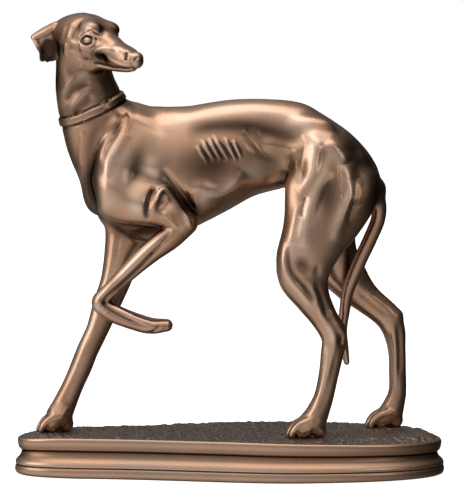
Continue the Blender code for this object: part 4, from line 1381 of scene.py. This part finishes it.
class Finish(Nodes):
    """The nodes of one material, around its shader.

    Args:
        name: the material's name.
    """

    def __init__(self, name: str) -> None:
        """Start a material with its shader and output."""
        self.material = bpy.data.materials.new(name)
        super().__init__(self.material)
        self.shader = self.add("BsdfPrincipled")
        self.add("OutputMaterial", {0: self.shader.outputs[0]})

    def surface(self, **inputs: object) -> None:
        """Fill the shader's inputs, with _ for the space in a name."""
        self.fill(self.shader, {name.replace("_", " "): value for name, value in inputs.items()})

    def attribute(self, name: str) -> Socket:
        """A vertex attribute's number."""
        return self.add("Attribute", attribute_name=name).outputs["Fac"]

    def noise(self, scale: float, detail: float, rough: float = 0.5) -> Socket:
        """Noise on object coordinates, with its scale per metre."""
        place = self.add("TexCoord").outputs["Object"]
        inputs = {"Vector": place, "Scale": scale, "Detail": detail, "Roughness": rough}
        return self.add("TexNoise", inputs).outputs["Fac"]

    def ranged(self, source: Socket, given: Range, wanted: Range = (0.0, 1.0)) -> Socket:
        """A number carried smoothly from one range to another, held at its ends."""
        inputs = {"Value": source, "From Min": given[0], "From Max": given[1], "To Min": wanted[0],
                  "To Max": wanted[1]}
        return self.add("MapRange", inputs, interpolation_type="SMOOTHSTEP").outputs["Result"]

    def product(self, first: Socket, second: object) -> Socket:
        """A number multiplied by another one, which may be a socket."""
        return self.add("Math", {0: first, 1: second}, operation="MULTIPLY").outputs[0]

    def mixed(self, share: Socket, first: object, second: object) -> Socket:
        """Two colours mixed by a share; each is a socket or an RGB triple."""
        return self.add("Mix", {0: share, 6: first, 7: second}, data_type="RGBA").outputs[2]

    def bumped(self, height: Socket, strength: float) -> None:
        """The height as a bump on the shader."""
        inputs = {"Height": height, "Strength": strength, "Distance": BUMP_DEPTH}
        self.surface(Normal=self.add("Bump", inputs).outputs["Normal"])


@dataclass(frozen=True)
class BronzePatina:
    """Satin brown patina: dark in the hollows, rubbed bright on the crests, with painted shade and painted
    highlight from the dark and bright marks.

    Args:
        deep: colour of the hollows, and the tint that dims the reflection under the dark marks as painted
            shade.
        black: colour of the dark marks: the darkest patina inside the ears and the mouth's corners, and
            painted shade where the marks lie elsewhere.
        body: colour of the broad surfaces.
        warm: a redder cast that drifts over them.
        rubbed: colour of the crests, and of the bright marks' painted highlight.
        rough: the satin's roughness.
    """

    deep: Colour = (0.045, 0.029, 0.022)
    black: Colour = (0.008, 0.004, 0.003)
    body: Colour = (0.455, 0.28, 0.187)
    warm: Colour = (0.40, 0.23, 0.147)
    rubbed: Colour = (0.65, 0.46, 0.35)
    rough: float = 0.27

    def material(self, name: str) -> bpy.types.Material:
        """The finish as a material; an attribute that the piece lacks counts as 0."""
        nodes = Finish(name)
        dark, bright = nodes.attribute("dark"), nodes.attribute("bright")
        colour = nodes.mixed(nodes.ranged(nodes.noise(28.0, 3.0), (0.38, 0.66)), self.body, self.warm)
        layers = (
            # bright marks: rubbed patina and painted highlight
            (nodes.product(bright, 0.9), self.rubbed),
            (nodes.ranged(nodes.attribute("crest"), (0.08, 0.8), (0.0, 0.7)), self.rubbed),
            (nodes.ranged(nodes.attribute("hollow"), (0.04, 0.45), (0.0, 0.9)), self.deep),
            (nodes.ranged(nodes.attribute("shelter"), (0.14, 0.65), (0.0, 0.9)), self.deep),
            # dark marks: darkest patina and painted shade
            (nodes.product(dark, 0.97), self.black),
        )
        for share, layer in layers:
            colour = nodes.mixed(share, colour, layer)
        satin = (self.rough - 0.03, self.rough + 0.05)
        # under the dark marks the reflection is tinted down to the deep colour: painted shade
        nodes.surface(Base_Color=colour, Metallic=1.0, Specular_Tint=nodes.mixed(dark, WHITE, self.deep),
                      Roughness=nodes.ranged(nodes.noise(900.0, 4.0, 0.6), (0.3, 0.7), satin))
        nodes.bumped(nodes.noise(420.0, 5.0, 0.6), 0.05)
        return nodes.material


@dataclass(frozen=True)
class TurfFinish:
    """The turf's dark grey-brown stipple, with warm metal where it is rubbed.

    Args:
        dark: colour between the specks.
        pale: colour of the specks.
        warm: colour of the rubbed metal.
        metallic: how metallic it is.
        rough: its roughness.
    """

    dark: Colour = (0.048, 0.036, 0.029)
    pale: Colour = (0.34, 0.285, 0.24)
    warm: Colour = (0.30, 0.18, 0.115)
    metallic: float = 0.8
    rough: float = 0.42

    def material(self, name: str) -> bpy.types.Material:
        """The finish as a material."""
        nodes = Finish(name)
        speck = nodes.ranged(nodes.noise(1500.0, 3.0, 0.7), (0.40, 0.64))
        rub = nodes.ranged(nodes.noise(30.0, 3.0), (0.46, 0.64))
        fleck = nodes.ranged(nodes.noise(900.0, 2.0), (0.50, 0.62), (0.0, 0.8))
        colour = nodes.mixed(nodes.product(rub, fleck), nodes.mixed(speck, self.dark, self.pale), self.warm)
        nodes.surface(Base_Color=colour, Metallic=self.metallic, Roughness=self.rough)
        nodes.bumped(nodes.noise(1900.0, 3.0, 0.7), 0.5)
        return nodes.material


@dataclass(frozen=True)
class SoftBox:
    """A rectangular area light.

    Args:
        name: the light's name.
        place: its middle, in metres.
        aim: the point it faces.
        size: its side lengths.
        watts: its power.
        colour: its RGB.
    """

    name: str
    place: Place
    aim: Place
    size: tuple[float, float]
    watts: float
    colour: Colour

    def build(self) -> None:
        """The light, turned to its aim."""
        light = bpy.data.lights.new(self.name, "AREA")
        light.shape = "RECTANGLE"
        light.size, light.size_y = self.size
        light.energy = self.watts
        light.color = self.colour
        lamp = placed(self.name, light)
        lamp.location = self.place
        lamp.rotation_euler = (Vector(self.aim) - Vector(self.place)).to_track_quat("-Z", "Y").to_euler()


@dataclass
class Studio:
    """The pale floor, the soft boxes, the surroundings and the camera.

    Args:
        floor_size: the floor's side, in metres.
        floor_glow: how strongly the floor glows.
        paper: the floor's colour.
        room_strength: the room's brightness.
        room: the room's light as ramps over x, y and z, each stop a share of the way and a level.
        camera_place: where the photograph was taken from, in metres.
        camera_pitch: degrees that the camera looks down.
        focal_pixels: its focal length in the photograph's pixels.
        frame_height: the photograph's height in pixels.
        sensor: the sensor's height, in mm.
        boxes: the soft boxes.
    """

    floor_size: float = 12.0
    floor_glow: float = 0.75
    paper: Colour = (0.93, 0.93, 0.925)
    room_strength: float = 2.15
    room: tuple[tuple[Range, ...], ...] = (
        ((0.0, 1.0), (0.35, 0.95), (0.55, 0.8), (0.72, 0.40), (0.88, 0.12), (1.0, 0.06)),
        ((0.0, 1.0), (0.45, 0.9), (0.62, 0.45), (1.0, 0.2)),
        ((0.0, 0.42), (0.30, 0.52), (0.42, 0.40), (0.49, 0.26), (0.56, 0.27), (0.72, 0.50), (0.84, 0.72),
         (1.0, 0.85)),
    )
    camera_place: Place = (0.00108, -1.0, 0.205)
    camera_pitch: float = 4.7166
    focal_pixels: float = 1843.0
    frame_height: float = 500.0
    sensor: float = 36.0
    boxes: tuple[SoftBox, ...] = (
        SoftBox("box_top", (-0.05, -0.22, 1.05), (0.0, 0.0, 0.12), (1.3, 0.7), 3.1, (1.0, 0.96, 0.92)),
        SoftBox("box_left", (-1.05, -0.6, 0.42), (-0.02, 0.0, 0.13), (0.65, 0.7), 2.7, (1.0, 0.97, 0.94)),
        SoftBox("box_right", (0.75, -1.1, 0.55), (0.03, 0.0, 0.12), (0.3, 0.6), 0.8, (1.0, 0.97, 0.94)),
    )

    def floor(self) -> None:
        """A large pale sheet that glows enough to read as white paper to its far end."""
        half = self.floor_size / 2
        corners = np.array([(-half, -half, 0.0), (half, -half, 0.0), (half, half, 0.0), (-half, half, 0.0)])
        sheet = mesh_object("studio_floor", corners, [(0, 1, 2, 3)])
        nodes = Finish("pale_paper")
        nodes.surface(Base_Color=self.paper, Roughness=0.9, Emission_Color=WHITE,
                      Emission_Strength=self.floor_glow)
        sheet.data.materials.append(nodes.material)
        sheet.visible_glossy = False

    def surroundings(self) -> None:
        """A white world to the camera, and to all else a room lit from above and the left.

        The room's light is the product of one ramp for each of the directions x, y and z.
        """
        world = bpy.data.worlds.new("studio")
        bpy.context.scene.world = world
        nodes = Nodes(world)
        split = nodes.add("SeparateXYZ", {0: nodes.add("TexCoord").outputs["Generated"]})
        light = None
        for axis, stops in enumerate(self.room):
            way = nodes.add("MapRange", {"Value": split.outputs[axis], "From Min": -1.0}).outputs["Result"]
            ramp = nodes.add("ValToRGB", {0: way})
            elements = ramp.color_ramp.elements
            while len(elements) < len(stops):
                elements.new(0.5)
            for element, (spot, level) in zip(elements, stops):
                element.position = spot
                element.color = (level, level, level, 1.0)
            if light is None:
                light = ramp.outputs[0]
                continue
            times = nodes.add("VectorMath", {0: light, 1: ramp.outputs[0]}, operation="MULTIPLY")
            light = times.outputs[0]
        room = nodes.add("Background", {0: light, 1: self.room_strength})
        white = nodes.add("Background", {0: WHITE})
        seen = nodes.add("LightPath").outputs["Is Camera Ray"]
        mix = nodes.add("MixShader", {0: seen, 1: room.outputs[0], 2: white.outputs[0]})
        nodes.add("OutputWorld", {0: mix.outputs[0]})

    def camera(self) -> None:
        """The photograph's camera: its focal length in pixels carried over to the sensor."""
        lens = bpy.data.cameras.new("photo_camera")
        lens.sensor_fit = "VERTICAL"
        lens.sensor_height = self.sensor
        lens.lens = self.sensor * self.focal_pixels / self.frame_height
        eye = placed("photo_camera", lens)
        eye.location = self.camera_place
        eye.rotation_euler = (math.radians(90.0 - self.camera_pitch), 0.0, 0.0)
        bpy.context.scene.camera = eye

    def build(self) -> None:
        """Everything around the figure."""
        bpy.context.scene.view_settings.view_transform = "Standard"
        self.floor()
        self.surroundings()
        for box in self.boxes:
            box.build()
        self.camera()


def report(piece: bpy.types.Object) -> None:
    """Log a piece's name and how fine it is."""
    triangles = sum(len(face.vertices) - 2 for face in piece.data.polygons)
    log.info("%s: %d triangles", piece.name, triangles)


def main() -> None:
    """Build the studio, the plinth and the dog, and join each to the frame."""
    logging.basicConfig(level=logging.INFO, format="%(message)s")
    Studio().build()

    plinth = Plinth().build()
    bronze = BronzePatina(body=(0.34, 0.215, 0.15), rubbed=(0.62, 0.46, 0.36))
    plinth.data.materials.append(bronze.material("moulding_bronze"))
    plinth.data.materials.append(TurfFinish().material("turf_patina"))
    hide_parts("plinth")
    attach(plinth, "root")
    report(plinth)

    dog = Whippet().build()
    dog.data.materials.append(BronzePatina().material("figure_bronze"))
    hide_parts("whippet")
    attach(dog, "root")
    report(dog)


if __name__ == "__main__":
    main()
